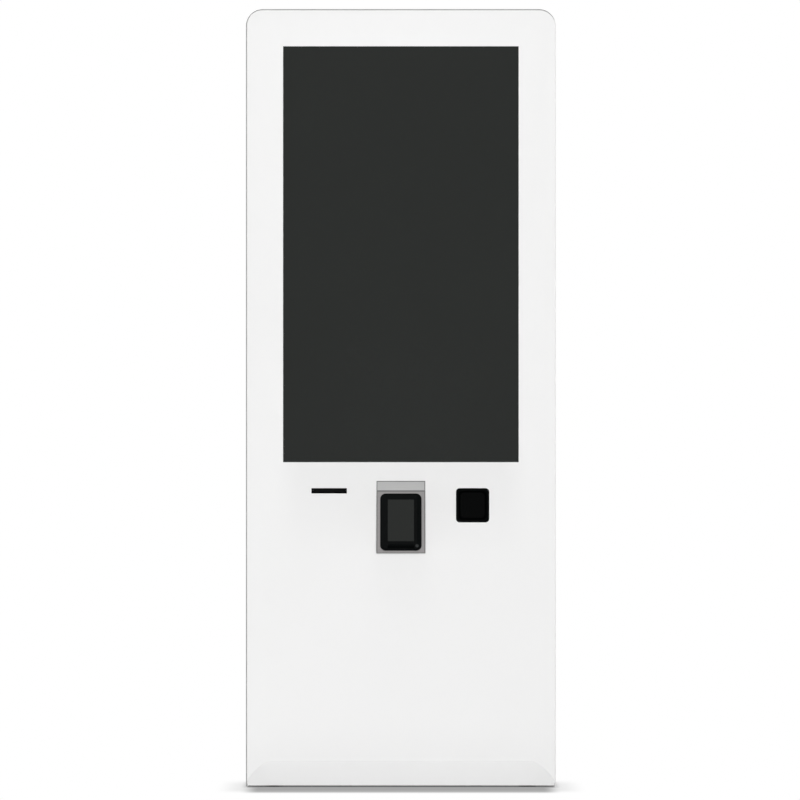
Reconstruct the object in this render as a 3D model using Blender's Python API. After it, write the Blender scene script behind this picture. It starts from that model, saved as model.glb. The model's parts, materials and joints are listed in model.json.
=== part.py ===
"""Self-service ticket machine: a floor-standing cabinet with a tall touch screen.

Units are metres and +Z is up. The front faces -Y and +X is to the right of a person who stands
in front. The origin is on the floor under the middle of the whole machine. Every shape is laid
out with y measured back from the front panel's face, and one empty moves the machine into place.
"""

import math

import bmesh
import bpy
from mathutils import Matrix, Vector

# Cabinet skin
BODY_WIDTH = 0.706
BODY_HEIGHT = 1.775
BODY_DEPTH = 0.240
CORNER_RADIUS = 0.038
SHEET = 0.002
FOLD_RADIUS = 0.003
FRONT_RETURN = 0.020
WRAP_FLANGE = 0.014
FLOOR_GAP = 0.003
SEAT_GAP = 0.0003
RUN_GAP = 0.0004

# Toe kick
TOE_TOP = 0.061
TOE_CORNER_WIDTH = 0.055
TOE_CORNER_DROP = 0.050
TOE_CORNER_FULLNESS = 1.38
TOE_DEPTH = 0.042
KICK_FLANGE = 0.024

# Screen
SCREEN_WIDTH = 0.537
SCREEN_HEIGHT = 0.948
SCREEN_MARGIN = 0.0845
SCREEN_SEAL = 0.0012
SEAL_INSET = 0.0015
GLASS_LAP = 0.0095
GLASS_THICK = 0.004
DISPLAY_LAP = 0.0105
DISPLAY_FRAME_DEPTH = 0.024
DISPLAY_COVER_DEPTH = 0.020
DISPLAY_COVER_INSET = 0.040

# Inner frame
UPRIGHT_SIZE = 0.030
UPRIGHT_WALL = 0.002
UPRIGHT_TOP_DROP = 0.040
RAIL_HEIGHT = 0.040
RAIL_SPACING = 0.470
BRACKET_WIDTH = 0.036
BRACKET_DEPTH = 0.0177
BRACKET_SPACING = 0.300
BRACKET_OVERHANG = 0.030

# Row of devices under the screen
DEVICE_SPACING = 0.327
DEVICE_DROP = 0.0593
SLOT_WIDTH = 0.0808
SLOT_HEIGHT = 0.012
SLOT_RADIUS = 0.0008
SLOT_PROUD = 0.0008
SLOT_MOUTH_WIDTH = 0.074
SLOT_MOUTH_HEIGHT = 0.0052
SLOT_FLANGE = 0.006
SLOT_FLANGE_THICK = 0.003
SCANNER_WIDTH = 0.0758
SCANNER_HEIGHT = 0.078
SCANNER_RADIUS = 0.0085
SCANNER_PROUD = 0.001
SCANNER_RIM = 0.005
SCANNER_TAPER = 0.005
SCANNER_THROAT = 0.014
SCANNER_FLANGE = 0.007
SCANNER_FLANGE_THICK = 0.002
SCANNER_GLASS = 0.003
SCANNER_BODY_DEPTH = 0.046

# Payment terminal and its hood
HOOD_WIDTH = 0.111
HOOD_DROP = 0.0427
HOOD_HEIGHT = 0.163
HOOD_TOP_HEIGHT = 0.0225
HOOD_TOP_TILT = 45.0
HOOD_TILT = 23.5
HOOD_SHEET = 0.0015
HOOD_BACK_FLANGE = 0.010
TERMINAL_WIDTH = 0.0935
TERMINAL_LENGTH = 0.139
TERMINAL_RADIUS = 0.0125
TERMINAL_PROUD = 0.006
TERMINAL_BEVEL = 0.004
TERMINAL_EDGE = 0.0012
TERMINAL_SHOULDER = 0.006
TERMINAL_DEPTH = 0.044
TERMINAL_BACK_WIDTH = 0.078
TERMINAL_BACK_LOW = 0.042
TERMINAL_BACK_HIGH = 0.060
READER_WIDTH = 0.074
READER_LOW = 0.0655
READER_DEPTH = 0.016
TERMINAL_SCREEN_WIDTH = 0.0595
TERMINAL_SCREEN_LENGTH = 0.102
TERMINAL_SCREEN_RISE = 0.0020
TERMINAL_SCREEN_DEPTH = 0.0016
CARD_SLOT_WIDTH = 0.060
CARD_SLOT_HEIGHT = 0.0062
CARD_SLOT_DROP = 0.0560
CARD_SLOT_DEPTH = 0.0105
SCOOP_WIDTH = 0.057
SCOOP_FLARE = 0.006
SCOOP_LENGTH = 0.0137
SCOOP_DEPTH = 0.0035
SCOOP_WALL = 0.003
CLAMP_FOOT = 0.018
CLAMP_HEIGHT = 0.036
CLAMP_CLEARANCE = 0.008

# Receipt printer
PRINTER_DEPTH = 0.104
PRINTER_DROP = 0.0465
PRINTER_RISE = 0.009
CHANNEL_WIDTH = 0.084
PRINTER_CHEEK = 0.010
PRINTER_FRONT_WALL = 0.016
PRINTER_EXIT_HEIGHT = 0.006
PLATEN_RADIUS = 0.0068
PLATEN_SHAFT = 0.003
PLATEN_SET_BACK = 0.024
COVER_THICK = 0.006
COVER_LAP = 0.004
COVER_SET_BACK = 0.0175
COVER_BARREL = 0.004
COVER_PIN = 0.002
COVER_EAR = 0.006
HEAD_LENGTH = 0.012
FEED_RADIUS = 0.003
FEED_PROUD = 0.0025
FEED_LENGTH = 0.009
FEED_TRAVEL = 0.0015
FEED_DROP = 0.030
SHELF_FLANGE = 0.060
SHELF_LIP = 0.015
ROLL_RADIUS = 0.042
ROLL_WIDTH = 0.0795
ROLL_CORE = 0.0095
ROLL_CLEARANCE = 0.006
ROLL_ARM_DEPTH = 0.026
ROLL_HUB = 0.010

# Equipment panel behind the frame
EQUIPMENT_LOW = 0.100
EQUIPMENT_CLEARANCE = 0.010
EQUIPMENT_FLANGE = 0.018
EQUIPMENT_MARGIN = 0.006
COMPUTER_WIDTH = 0.200
COMPUTER_HEIGHT = 0.190
COMPUTER_BASE = 0.024
COMPUTER_FIN = 0.018
COMPUTER_FINS = 13
EQUIPMENT_RISE = 0.045
SUPPLY_WIDTH = 0.190
SUPPLY_HEIGHT = 0.110
SUPPLY_DEPTH = 0.042
DUCT_WIDTH = 0.040
DUCT_DEPTH = 0.040
DUCT_WALL = 0.0015
DUCT_SLOTS = 14
RAIL_DIN_WIDTH = 0.035
RAIL_DIN_CROWN = 0.027
RAIL_DIN_DEPTH = 0.0075
RAIL_DIN_SHEET = 0.001
RAIL_DIN_LENGTH = 0.190
RAIL_DIN_DROP = 0.066
BREAKER_WIDTH = 0.036
BREAKER_HEIGHT = 0.084
BREAKER_SHOULDER = 0.044
BREAKER_NOSE = 0.018
BREAKER_NOSE_HEIGHT = 0.045
BREAKER_HUB = 0.007
LEVER_WIDTH = 0.026
LEVER_REACH = 0.016
LEVER_THICK = 0.006
LEVER_REST = 20.0

# Leads to the computer
DISPLAY_LEAD = 0.004
PRINTER_LEAD = 0.003
SIGNAL_LEAD = 0.0025
LEAD_STRAIGHT = 0.014
LEAD_BEND = 0.030
LEAD_CLEARANCE = 0.010
LEAD_PITCH = 0.030
LEAD_SET_BACK = 0.030

# Base, feet and cable entry
BASE_THICK = 0.005
FOOT_PAD_HEIGHT = 0.006
FOOT_PAD_RADIUS = 0.020
FOOT_STEM = 0.005
FOOT_LENGTH = 0.060
FOOT_BOSS = 0.011
FOOT_BOSS_HEIGHT = 0.014
FOOT_INSET = 0.063
FOOT_FRONT = 0.070
FOOT_REAR_INSET = 0.034
ANCHOR_RADIUS = 0.0065
ANCHOR_SPACING = 0.400
GLAND_RADIUS = 0.016
GLAND_NUT = 0.021
GLAND_BORE = 0.009
GLAND_HEIGHT = 0.034
GLAND_SET_BACK = 0.185

# Rear door
DOOR_BORDER = 0.022
DOOR_TOP_BORDER = 0.035
DOOR_LOW = 0.070
DOOR_LAP = 0.020
DOOR_RADIUS = 0.018
OPENING_RADIUS = 0.003
RAIN_LIP = 0.010
DOOR_SEAL = 0.0056
DOOR_SEAL_WIDTH = 0.012
KNUCKLE_RADIUS = 0.005
HINGE_PIN = 0.0025
HINGE_LEAF = 0.002
HINGE_KNUCKLES = 14
HINGE_END_INSET = 0.030
FAN_SIZE = 0.120
FAN_DEPTH = 0.025
FAN_BORE = 0.057
FAN_HUB = 0.019
FAN_SPACING = 0.180
FAN_DROP = 0.180
FAN_BLADES = 7
FAN_BLADE_THICK = 0.0016
FAN_PITCH = 38.0
FAN_SPIDER = 0.003
FAN_SHAFT = 0.004
VENT_SLOTS = 9
VENT_WIDTH = 0.096
VENT_HEIGHT = 0.0055
VENT_PITCH = 0.0115
INTAKE_RISE = 0.110

# Lock with a pinion and two racks
LOCK_HEIGHT = 0.900
LOCK_INSET = 0.056
GEAR_MODULE = 0.0015
GEAR_TEETH = 16
GEAR_BACKLASH = 0.0004
GEAR_PRESSURE = 20.0
ROD_WIDTH = 0.009
ROD_THICK = 0.006
ROD_CLEARANCE = 0.003
ROD_RETRACT = 0.005
RACK_MARGIN = 0.010
LOCK_WALL = 0.003
LOCK_CASE_HEIGHT = 0.080
LOCK_SHAFT = 0.008
LOCK_HEAD = 0.012
LOCK_HEAD_PROUD = 0.0045
KEY_SLOT_DEPTH = 0.003
GUIDE_HEIGHT = 0.022
GUIDE_INSET = 0.070

# Facets
CORNER_STEPS = 6
ROUND_STEPS = 24
KNUCKLE_STEPS = 12

# Levels and faces that follow from the sizes above
HALF = BODY_WIDTH / 2
INNER = HALF - SHEET
SCREEN_TOP = BODY_HEIGHT - SCREEN_MARGIN
SCREEN_LOW = SCREEN_TOP - SCREEN_HEIGHT
SCREEN_MID = (SCREEN_TOP + SCREEN_LOW) / 2
SEAL_FRONT = SHEET + SEAT_GAP
GLASS_FRONT = SEAL_FRONT + SCREEN_SEAL + SEAT_GAP
DISPLAY_FRONT = GLASS_FRONT + GLASS_THICK + SEAT_GAP
DISPLAY_STEP = DISPLAY_FRONT + DISPLAY_FRAME_DEPTH
DISPLAY_BACK = DISPLAY_STEP + DISPLAY_COVER_DEPTH
BRACKET_FRONT = DISPLAY_BACK + SEAT_GAP
FRAME_FRONT = BRACKET_FRONT + BRACKET_DEPTH + SEAT_GAP
FRAME_BACK = FRAME_FRONT + UPRIGHT_SIZE
PLATE_FRONT = FRAME_BACK + SEAT_GAP
EQUIPMENT_FACE = PLATE_FRONT + SHEET + SEAT_GAP
UPRIGHT_INNER = INNER - SEAT_GAP - UPRIGHT_SIZE
BASE_LOW = FOOT_PAD_HEIGHT + SEAT_GAP
BASE_TOP = BASE_LOW + BASE_THICK
BASE_FRONT = TOE_DEPTH + SHEET * 1.6
BASE_BACK = BODY_DEPTH - SHEET - SEAT_GAP

DEVICE_TOP = SCREEN_LOW - DEVICE_DROP
SLOT_X = -DEVICE_SPACING / 2
SLOT_Z = DEVICE_TOP - SLOT_HEIGHT / 2
SCANNER_X = DEVICE_SPACING / 2
SCANNER_Z = DEVICE_TOP - SCANNER_HEIGHT / 2
BEZEL_BACK = SHEET + SEAT_GAP + SLOT_FLANGE_THICK

HOOD_TOP = SCREEN_LOW - HOOD_DROP
HOOD_FOLD = HOOD_TOP - HOOD_TOP_HEIGHT
HOOD_LOW = HOOD_TOP - HOOD_HEIGHT
HOOD_FOLD_OUT = HOOD_TOP_HEIGHT * math.tan(math.radians(HOOD_TOP_TILT)) + SEAT_GAP
TILT = math.radians(HOOD_TILT)
HOOD_LOW_OUT = HOOD_FOLD_OUT + (HOOD_FOLD - HOOD_LOW) * math.tan(TILT)
TERMINAL_Z = (HOOD_FOLD + HOOD_LOW) / 2
TERMINAL_Y = -(HOOD_FOLD_OUT + HOOD_LOW_OUT) / 2
TERMINAL_REACH = (TERMINAL_Y + TERMINAL_DEPTH * math.cos(TILT)
                  + TERMINAL_BACK_HIGH * math.sin(TILT))

PRINTER_FRONT = BEZEL_BACK + SEAT_GAP
PRINTER_BACK = PRINTER_FRONT + PRINTER_DEPTH
PRINTER_LOW = SLOT_Z - PRINTER_DROP
PRINTER_TOP = SLOT_Z + PRINTER_RISE
PRINTER_HALF = CHANNEL_WIDTH / 2 + PRINTER_CHEEK
PLATEN_Y = PRINTER_FRONT + PLATEN_SET_BACK
PLATEN_Z = SLOT_Z - PLATEN_RADIUS - RUN_GAP
COVER_LOW = PRINTER_TOP + SEAT_GAP
COVER_HALF = CHANNEL_WIDTH / 2 + COVER_LAP
COVER_PIN_Y = PRINTER_BACK - COVER_EAR
COVER_PIN_Z = COVER_LOW + COVER_BARREL
FEED_X = SLOT_X + CHANNEL_WIDTH / 2 + PRINTER_CHEEK / 2
FEED_Z = PRINTER_TOP - FEED_DROP
SHELF_TOP = PRINTER_LOW - SEAT_GAP
ROLL_Y = PRINTER_BACK + ROLL_RADIUS + ROLL_CLEARANCE
ROLL_Z = SHELF_TOP + SEAT_GAP + SHEET + ROLL_RADIUS + ROLL_CLEARANCE / 2

EQUIPMENT_TOP = SHELF_TOP - SHELF_FLANGE - EQUIPMENT_CLEARANCE
EQUIPMENT_BASE = EQUIPMENT_LOW + EQUIPMENT_RISE
EQUIPMENT_END = INNER - SEAT_GAP - EQUIPMENT_MARGIN
EQUIPMENT_MID = (DUCT_WIDTH / 2 + EQUIPMENT_END) / 2
COMPUTER_LEFT = EQUIPMENT_MID - COMPUTER_WIDTH / 2
COMPUTER_TOP = EQUIPMENT_BASE + COMPUTER_HEIGHT
COMPUTER_BACK = EQUIPMENT_FACE + COMPUTER_BASE + COMPUTER_FIN
SUPPLY_RIGHT = SUPPLY_WIDTH / 2 - EQUIPMENT_MID
DIN_Z = EQUIPMENT_TOP - RAIL_DIN_DROP
DIN_X = -EQUIPMENT_MID
BREAKER_FRONT = EQUIPMENT_FACE + RAIL_DIN_DEPTH + SEAT_GAP
LEVER_Y = BREAKER_FRONT + BREAKER_SHOULDER + BREAKER_NOSE - BREAKER_HUB

DOOR_HALF = HALF - DOOR_BORDER
DOOR_TOP = BODY_HEIGHT - DOOR_TOP_BORDER
DOOR_EDGE = BODY_DEPTH + 2 * SEAT_GAP
SEAL_BACK_FRONT = BODY_DEPTH + RAIN_LIP + SEAT_GAP
DOOR_INSIDE = SEAL_BACK_FRONT + DOOR_SEAL + SEAT_GAP
DOOR_FACE = DOOR_INSIDE + SHEET
OPENING_HALF = DOOR_HALF - DOOR_LAP
OPENING_LOW = DOOR_LOW + DOOR_LAP
OPENING_TOP = DOOR_TOP - DOOR_LAP
HINGE_X = -(DOOR_HALF + SEAT_GAP + KNUCKLE_RADIUS)
HINGE_Y = BODY_DEPTH + SEAT_GAP + KNUCKLE_RADIUS
HINGE_LOW = DOOR_LOW + HINGE_END_INSET
HINGE_TOP = DOOR_TOP - HINGE_END_INSET
FAN_BACK = DOOR_INSIDE - SEAT_GAP
FAN_FRONT = FAN_BACK - FAN_DEPTH
FAN_Z = DOOR_TOP - FAN_DROP

PITCH_RADIUS = GEAR_MODULE * GEAR_TEETH / 2
ROOT_DEPTH = 1.25 * GEAR_MODULE
RACK_PITCH = math.pi * GEAR_MODULE
ROD_TRAVEL = PITCH_RADIUS * math.pi / 2
ROD_BACK = BODY_DEPTH - SHEET - ROD_CLEARANCE
ROD_FRONT = ROD_BACK - ROD_THICK
LOCK_X = DOOR_HALF - LOCK_INSET
ROD_ROOT = PITCH_RADIUS + ROOT_DEPTH
ROD_OUTER = ROD_ROOT + ROD_WIDTH
HEAD_FACE = DOOR_FACE + SEAT_GAP + LOCK_HEAD_PROUD

FRONT_REACH = (-TERMINAL_Y + (TERMINAL_PROUD - TERMINAL_EDGE) * math.cos(TILT)
               + (TERMINAL_LENGTH / 2 - TERMINAL_EDGE) * math.sin(TILT))
FRONT_Y = (max(FRONT_REACH, HOOD_LOW_OUT) - HEAD_FACE) / 2

FINISHES = {
    "white_powder_coat": ((0.86, 0.86, 0.85), 0.45, 0.0),
    "grey_powder_coat": ((0.33, 0.34, 0.35), 0.5, 0.0),
    "zinc_steel": ((0.55, 0.56, 0.57), 0.42, 0.9),
    "brushed_steel": ((0.52, 0.52, 0.51), 0.38, 0.9),
    "bright_steel": ((0.66, 0.66, 0.66), 0.25, 1.0),
    "black_plastic": ((0.012, 0.012, 0.013), 0.42, 0.0),
    "dark_plastic": ((0.035, 0.035, 0.038), 0.5, 0.0),
    "light_plastic": ((0.62, 0.62, 0.60), 0.5, 0.0),
    "screen_glass": ((0.027, 0.029, 0.028), 0.08, 0.0),
    "black_rubber": ((0.016, 0.016, 0.016), 0.8, 0.0),
    "bare_aluminium": ((0.60, 0.61, 0.62), 0.4, 0.95),
    "paper_white": ((0.85, 0.85, 0.82), 0.85, 0.0),
    "green_plastic": ((0.05, 0.28, 0.12), 0.45, 0.0),
}


for leftover in list(bpy.data.objects):
    bpy.data.objects.remove(leftover, do_unlink=True)

ORIGIN = bpy.data.objects.new("machine_origin", None)
ORIGIN.location = (0.0, FRONT_Y, 0.0)
bpy.context.collection.objects.link(ORIGIN)

DOOR_AXIS = bpy.data.objects.new("door_axis", None)
DOOR_AXIS.parent = ORIGIN
DOOR_AXIS.location = (HINGE_X, HINGE_Y, 0.0)
bpy.context.collection.objects.link(DOOR_AXIS)


# Drawing outlines

def arc(across, up, radius, start, end, steps):
    """Points along a circular arc, both ends included, with the angles in degrees."""
    points = []
    for step in range(steps + 1):
        angle = math.radians(start + (end - start) * step / steps)
        points.append((across + radius * math.cos(angle), up + radius * math.sin(angle)))
    return points


def eased(across, up, width, height, fullness, steps):
    """Corner that leaves the side upright and meets the top level, both ends included: width and height
    raised to the fullness add up to one, so 1 is a straight cut and 2 a quarter of an ellipse."""
    points = []
    for step in range(steps + 1):
        angle = math.pi / 2 * step / steps
        points.append((across + width * max(math.cos(angle), 0.0) ** (2 / fullness),
                       up + height * math.sin(angle) ** (2 / fullness)))
    return points


def rectangle(left, right, low, high):
    """Plain rectangle."""
    return [(left, low), (right, low), (right, high), (left, high)]


def rounded(left, right, low, high, radius):
    """Rectangle with four round corners."""
    corners = ((right, low, -1, 1, 270), (right, high, -1, -1, 0),
               (left, high, 1, -1, 90), (left, low, 1, 1, 180))
    points = []
    for across, up, side, rise, angle in corners:
        points += arc(across + side * radius, up + rise * radius, radius,
                      angle, angle + 90, CORNER_STEPS)
    return points


def centred(across, up, width, height, radius):
    """Rounded rectangle about its middle."""
    return rounded(across - width / 2, across + width / 2, up - height / 2, up + height / 2, radius)


def arch(half, low, high, radius):
    """Outline with square feet and round shoulders, as the cabinet has from the front."""
    points = [(-half, low), (half, low)]
    points += arc(half - radius, high - radius, radius, 0, 90, 2 * CORNER_STEPS)
    points += arc(radius - half, high - radius, radius, 90, 180, 2 * CORNER_STEPS)
    return points


def folded(path, thick):
    """Outline of a folded sheet: the path is one face, and the sheet lies to its left."""
    line = [Vector(point) for point in path]
    lefts = []
    for a, b in zip(line, line[1:]):
        run = (b - a).normalized()
        lefts.append(Vector((-run.y, run.x)))
    other = [line[0] + lefts[0] * thick]
    for corner, before, after in zip(line[1:], lefts, lefts[1:]):
        middle = (before + after).normalized()
        other.append(corner + middle * (thick / middle.dot(before)))
    other.append(line[-1] + lefts[-1] * thick)
    return [tuple(point) for point in line + other[::-1]]


def shrunk(outline, margin):
    """Convex outline, counter-clockwise, with every side moved in by the margin."""
    count = len(outline)
    sides = []
    for index in range(count):
        a = Vector(outline[index])
        run = (Vector(outline[(index + 1) % count]) - a).normalized()
        left = Vector((-run.y, run.x))
        sides.append((a + left * margin, run, left))
    corners = []
    for index in range(count):
        at, run, _ = sides[index - 1]
        point, _, left = sides[index]
        corners.append(tuple(at + run * ((point - at).dot(left) / run.dot(left))))
    return corners


# Making and changing solids

def finish_of(name):
    """Material for a named finish, made the first time it is asked for."""
    found = bpy.data.materials.get(name)
    if found:
        return found
    colour, rough, metal = FINISHES[name]
    made = bpy.data.materials.new(name)
    made.use_nodes = True
    shader = made.node_tree.nodes["Principled BSDF"]
    shader.inputs["Base Color"].default_value = (*colour, 1.0)
    shader.inputs["Roughness"].default_value = rough
    shader.inputs["Metallic"].default_value = metal
    return made


def placed(name, data, finish):
    """Object of the mesh or curve, in the machine."""
    if finish:
        data.materials.append(finish_of(finish))
    obj = bpy.data.objects.new(name, data)
    bpy.context.collection.objects.link(obj)
    obj.parent = ORIGIN
    return obj


def solid(name, shape, finish):
    """Object of a finished bmesh, its faces turned outwards."""
    bmesh.ops.recalc_face_normals(shape, faces=shape.faces)
    mesh = bpy.data.meshes.new(name)
    shape.to_mesh(mesh)
    shape.free()
    return placed(name, mesh, finish)


def spot(axis, across, up, along):
    """Point from two coordinates of an outline and one along the axis it is drawn across."""
    if axis == "x":
        return (along, across, up)
    if axis == "y":
        return (across, along, up)
    return (across, up, along)


def add_loft(shape, axis, sections, looped):
    """Skin through matching outlines; a looped one closes on its first section."""
    rings = []
    for outline, along in sections:
        rings.append([shape.verts.new(spot(axis, a, b, along)) for a, b in outline])
    pairs = list(zip(rings, rings[1:]))
    if looped:
        pairs.append((rings[-1], rings[0]))
    else:
        shape.faces.new(rings[0])
        shape.faces.new(rings[-1])
    for lower, upper in pairs:
        for index in range(len(lower)):
            after = (index + 1) % len(lower)
            shape.faces.new((lower[index], lower[after], upper[after], upper[index]))


def loft(name, axis, sections, finish=None, looped=False):
    """Solid through matching outlines, each given with its place along the axis."""
    shape = bmesh.new()
    add_loft(shape, axis, sections, looped)
    return solid(name, shape, finish)


def prism(name, axis, outline, start, end, finish=None):
    """Outline pushed straight along an axis."""
    return loft(name, axis, [(outline, start), (outline, end)], finish)


def box(name, left, right, front, back, low, high, finish=None):
    """Plain block."""
    return prism(name, "y", rectangle(left, right, low, high), front, back, finish)


def blocks(name, bounds):
    """Several plain blocks in one tool."""
    shape = bmesh.new()
    for left, right, front, back, low, high in bounds:
        outline = rectangle(left, right, low, high)
        add_loft(shape, "y", [(outline, front), (outline, back)], False)
    return solid(name, shape, None)


def rods(name, axis, centres, radius, start, end, finish=None, steps=ROUND_STEPS):
    """Round bars along one axis, all in one mesh."""
    shape = bmesh.new()
    for across, up in centres:
        outline = arc(across, up, radius, 0, 360, steps)[:-1]
        add_loft(shape, axis, [(outline, start), (outline, end)], False)
    return solid(name, shape, finish)


def turned(name, axis, across, up, profile, finish=None, steps=ROUND_STEPS, looped=False):
    """Turned piece: the profile lists radius and place along the axis."""
    sections = [(arc(across, up, radius, 0, 360, steps)[:-1], along) for radius, along in profile]
    return loft(name, axis, sections, finish, looped)


def change(body, operation, *tools):
    """Joins the tools to the body or cuts them from it, then drops them."""
    for tool in tools:
        step = body.modifiers.new(tool.name, "BOOLEAN")
        step.operation = operation
        step.solver = "EXACT"
        step.object = tool
    bpy.context.view_layer.update()
    graph = bpy.context.evaluated_depsgraph_get()
    result = bpy.data.meshes.new_from_object(body.evaluated_get(graph))
    body.modifiers.clear()
    body.data = result
    for tool in tools:
        bpy.data.objects.remove(tool, do_unlink=True)
    return body


def cut(body, *tools):
    """Body less the tools."""
    return change(body, "DIFFERENCE", *tools)


def join(body, *tools):
    """Body and the tools as one solid."""
    return change(body, "UNION", *tools)


def turns_at(obj, x, y, z):
    """Puts the origin of a piece on its own axis and leaves the piece where it is."""
    obj.data.transform(Matrix.Translation((-x, -y, -z)))
    obj.location = (x, y, z)
    return obj


def hung(obj):
    """Hangs a piece on the door's hinge axis and leaves it where it is."""
    obj.parent = DOOR_AXIS
    obj.location -= DOOR_AXIS.location
    return obj


def twin(obj, name, shift):
    """Copy that shares the mesh of a piece and hangs where it hangs, moved by the shift."""
    other = bpy.data.objects.new(name, obj.data)
    bpy.context.collection.objects.link(other)
    other.parent = obj.parent
    other.location = obj.location + Vector(shift)
    return other


def tilted(obj):
    """Lays a piece drawn flat about zero onto the sloping face of the terminal hood."""
    obj.location = (0.0, TERMINAL_Y, TERMINAL_Z)
    obj.rotation_euler = (-TILT, 0.0, 0.0)
    return obj


# Cabinet skin

def toe_cut_out():
    """Tool for the gap under the front panel, with its eased corners."""
    edge = INNER
    corner = HALF - TOE_CORNER_WIDTH
    low = TOE_TOP - TOE_CORNER_DROP
    right = eased(corner, low, edge - corner, TOE_CORNER_DROP, TOE_CORNER_FULLNESS, 2 * CORNER_STEPS)
    outline = [(edge, -FLOOR_GAP)] + right
    outline += [(-across, up) for across, up in reversed(outline)]
    return prism("toe_tool", "y", outline, -SHEET, FRONT_RETURN / 2)


def make_front_panel():
    """Front sheet with folded edges and the openings for screen and devices."""
    sections = []
    for step in range(4):
        angle = math.radians(30 * step)
        inset = FOLD_RADIUS * (1 - math.sin(angle))
        sections.append((arch(HALF - inset, FLOOR_GAP, BODY_HEIGHT - inset, CORNER_RADIUS - inset),
                         FOLD_RADIUS * (1 - math.cos(angle))))
    sections.append((arch(HALF, FLOOR_GAP, BODY_HEIGHT, CORNER_RADIUS), FRONT_RETURN))
    panel = loft("front_panel", "y", sections, "white_powder_coat")
    hollow = prism("tray_tool", "y", arch(INNER, -FLOOR_GAP, BODY_HEIGHT - SHEET, CORNER_RADIUS - SHEET),
                   SHEET, FRONT_RETURN + SHEET)
    through = (-SHEET, 2 * SHEET)
    screen = prism("screen_tool", "y", rectangle(-SCREEN_WIDTH / 2, SCREEN_WIDTH / 2, SCREEN_LOW, SCREEN_TOP),
                   *through)
    slot = prism("slot_tool", "y", centred(SLOT_X, SLOT_Z, SLOT_WIDTH, SLOT_HEIGHT, SLOT_RADIUS), *through)
    scanner = prism("scanner_tool", "y",
                    centred(SCANNER_X, SCANNER_Z, SCANNER_WIDTH, SCANNER_HEIGHT, SCANNER_RADIUS), *through)
    terminal = prism("terminal_tool", "y", terminal_opening(), *through)
    return cut(panel, hollow, toe_cut_out(), screen, slot, scanner, terminal)


def terminal_opening():
    """Outline of the opening in the front sheet behind the terminal hood."""
    half = HOOD_WIDTH / 2 - HOOD_BACK_FLANGE
    return rectangle(-half, half, HOOD_LOW + HOOD_BACK_FLANGE, HOOD_FOLD + HOOD_TOP_HEIGHT / 2)


def make_body_wrap():
    """Sides and top of the cabinet in one band, with a flange behind the front panel's edge."""
    front = FRONT_RETURN + SEAT_GAP
    wrap = prism("body_wrap", "y", arch(HALF, FLOOR_GAP, BODY_HEIGHT, CORNER_RADIUS), front, BODY_DEPTH,
                 "white_powder_coat")
    inside = prism("inside_tool", "y", arch(INNER, -FLOOR_GAP, BODY_HEIGHT - SHEET, CORNER_RADIUS - SHEET),
                   front + SHEET, BODY_DEPTH + SHEET)
    mouth = prism("mouth_tool", "y",
                  arch(INNER - WRAP_FLANGE, -FLOOR_GAP, BODY_HEIGHT - SHEET - WRAP_FLANGE,
                       CORNER_RADIUS - SHEET - WRAP_FLANGE), front - SHEET, front + 2 * SHEET)
    toe = box("toe_flange_tool", -INNER, INNER, front - SHEET, front + 2 * SHEET,
              -FLOOR_GAP, TOE_TOP + KICK_FLANGE)
    return cut(wrap, inside, mouth, toe)


def make_rear_frame():
    """Rear sheet with the door opening and its rain lip."""
    edge = INNER - SEAT_GAP
    frame = prism("rear_frame", "y",
                  arch(edge, BASE_TOP + SEAT_GAP, BODY_HEIGHT - SHEET - SEAT_GAP,
                       CORNER_RADIUS - SHEET - SEAT_GAP),
                  BODY_DEPTH - SHEET, BODY_DEPTH, "white_powder_coat")
    lip = prism("lip_tool", "y",
                rounded(-OPENING_HALF - SHEET, OPENING_HALF + SHEET, OPENING_LOW - SHEET, OPENING_TOP + SHEET,
                        OPENING_RADIUS + SHEET), BODY_DEPTH - SHEET / 2, BODY_DEPTH + RAIN_LIP)
    opening = prism("opening_tool", "y",
                    rounded(-OPENING_HALF, OPENING_HALF, OPENING_LOW, OPENING_TOP, OPENING_RADIUS),
                    BODY_DEPTH - 2 * SHEET, BODY_DEPTH + 2 * RAIN_LIP)
    return cut(join(frame, lip), opening)


def foot_places():
    """Plan positions of the four levelling feet: front left, front right, rear left, rear right."""
    x = HALF - FOOT_INSET
    rear = BODY_DEPTH - FOOT_REAR_INSET
    return ((-x, FOOT_FRONT), (x, FOOT_FRONT), (-x, rear), (x, rear))


def make_base_plate():
    """Floor of the cabinet with foot bosses, anchor holes and the cable hole."""
    edge = INNER - SEAT_GAP
    plate = box("base_plate", -edge, edge, BASE_FRONT, BASE_BACK, BASE_LOW, BASE_TOP, "zinc_steel")
    bosses = rods("boss_tool", "z", foot_places(), FOOT_BOSS, BASE_TOP - BASE_THICK / 2,
                  BASE_TOP + FOOT_BOSS_HEIGHT)
    stems = rods("stem_tool", "z", foot_places(), FOOT_STEM + RUN_GAP, 0.0, FOOT_LENGTH)
    middle = (FOOT_FRONT + BODY_DEPTH - FOOT_REAR_INSET) / 2
    anchors = rods("anchor_tool", "z", ((-ANCHOR_SPACING / 2, middle), (ANCHOR_SPACING / 2, middle)),
                   ANCHOR_RADIUS, 0.0, FOOT_LENGTH)
    gland = rods("gland_tool", "z", ((0.0, GLAND_SET_BACK),), GLAND_RADIUS + SEAT_GAP, 0.0, FOOT_LENGTH)
    return cut(join(plate, bosses), stems, anchors, gland)


def make_kick_plate():
    """Folded plate that closes the toe space."""
    face = SHEET + SEAT_GAP
    path = [(TOE_DEPTH, FLOOR_GAP), (face, TOE_TOP), (face, TOE_TOP + KICK_FLANGE)]
    return prism("kick_plate", "x", folded(path, -SHEET), SEAT_GAP - INNER, INNER - SEAT_GAP,
                 "white_powder_coat")


# Inner frame and display

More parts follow.
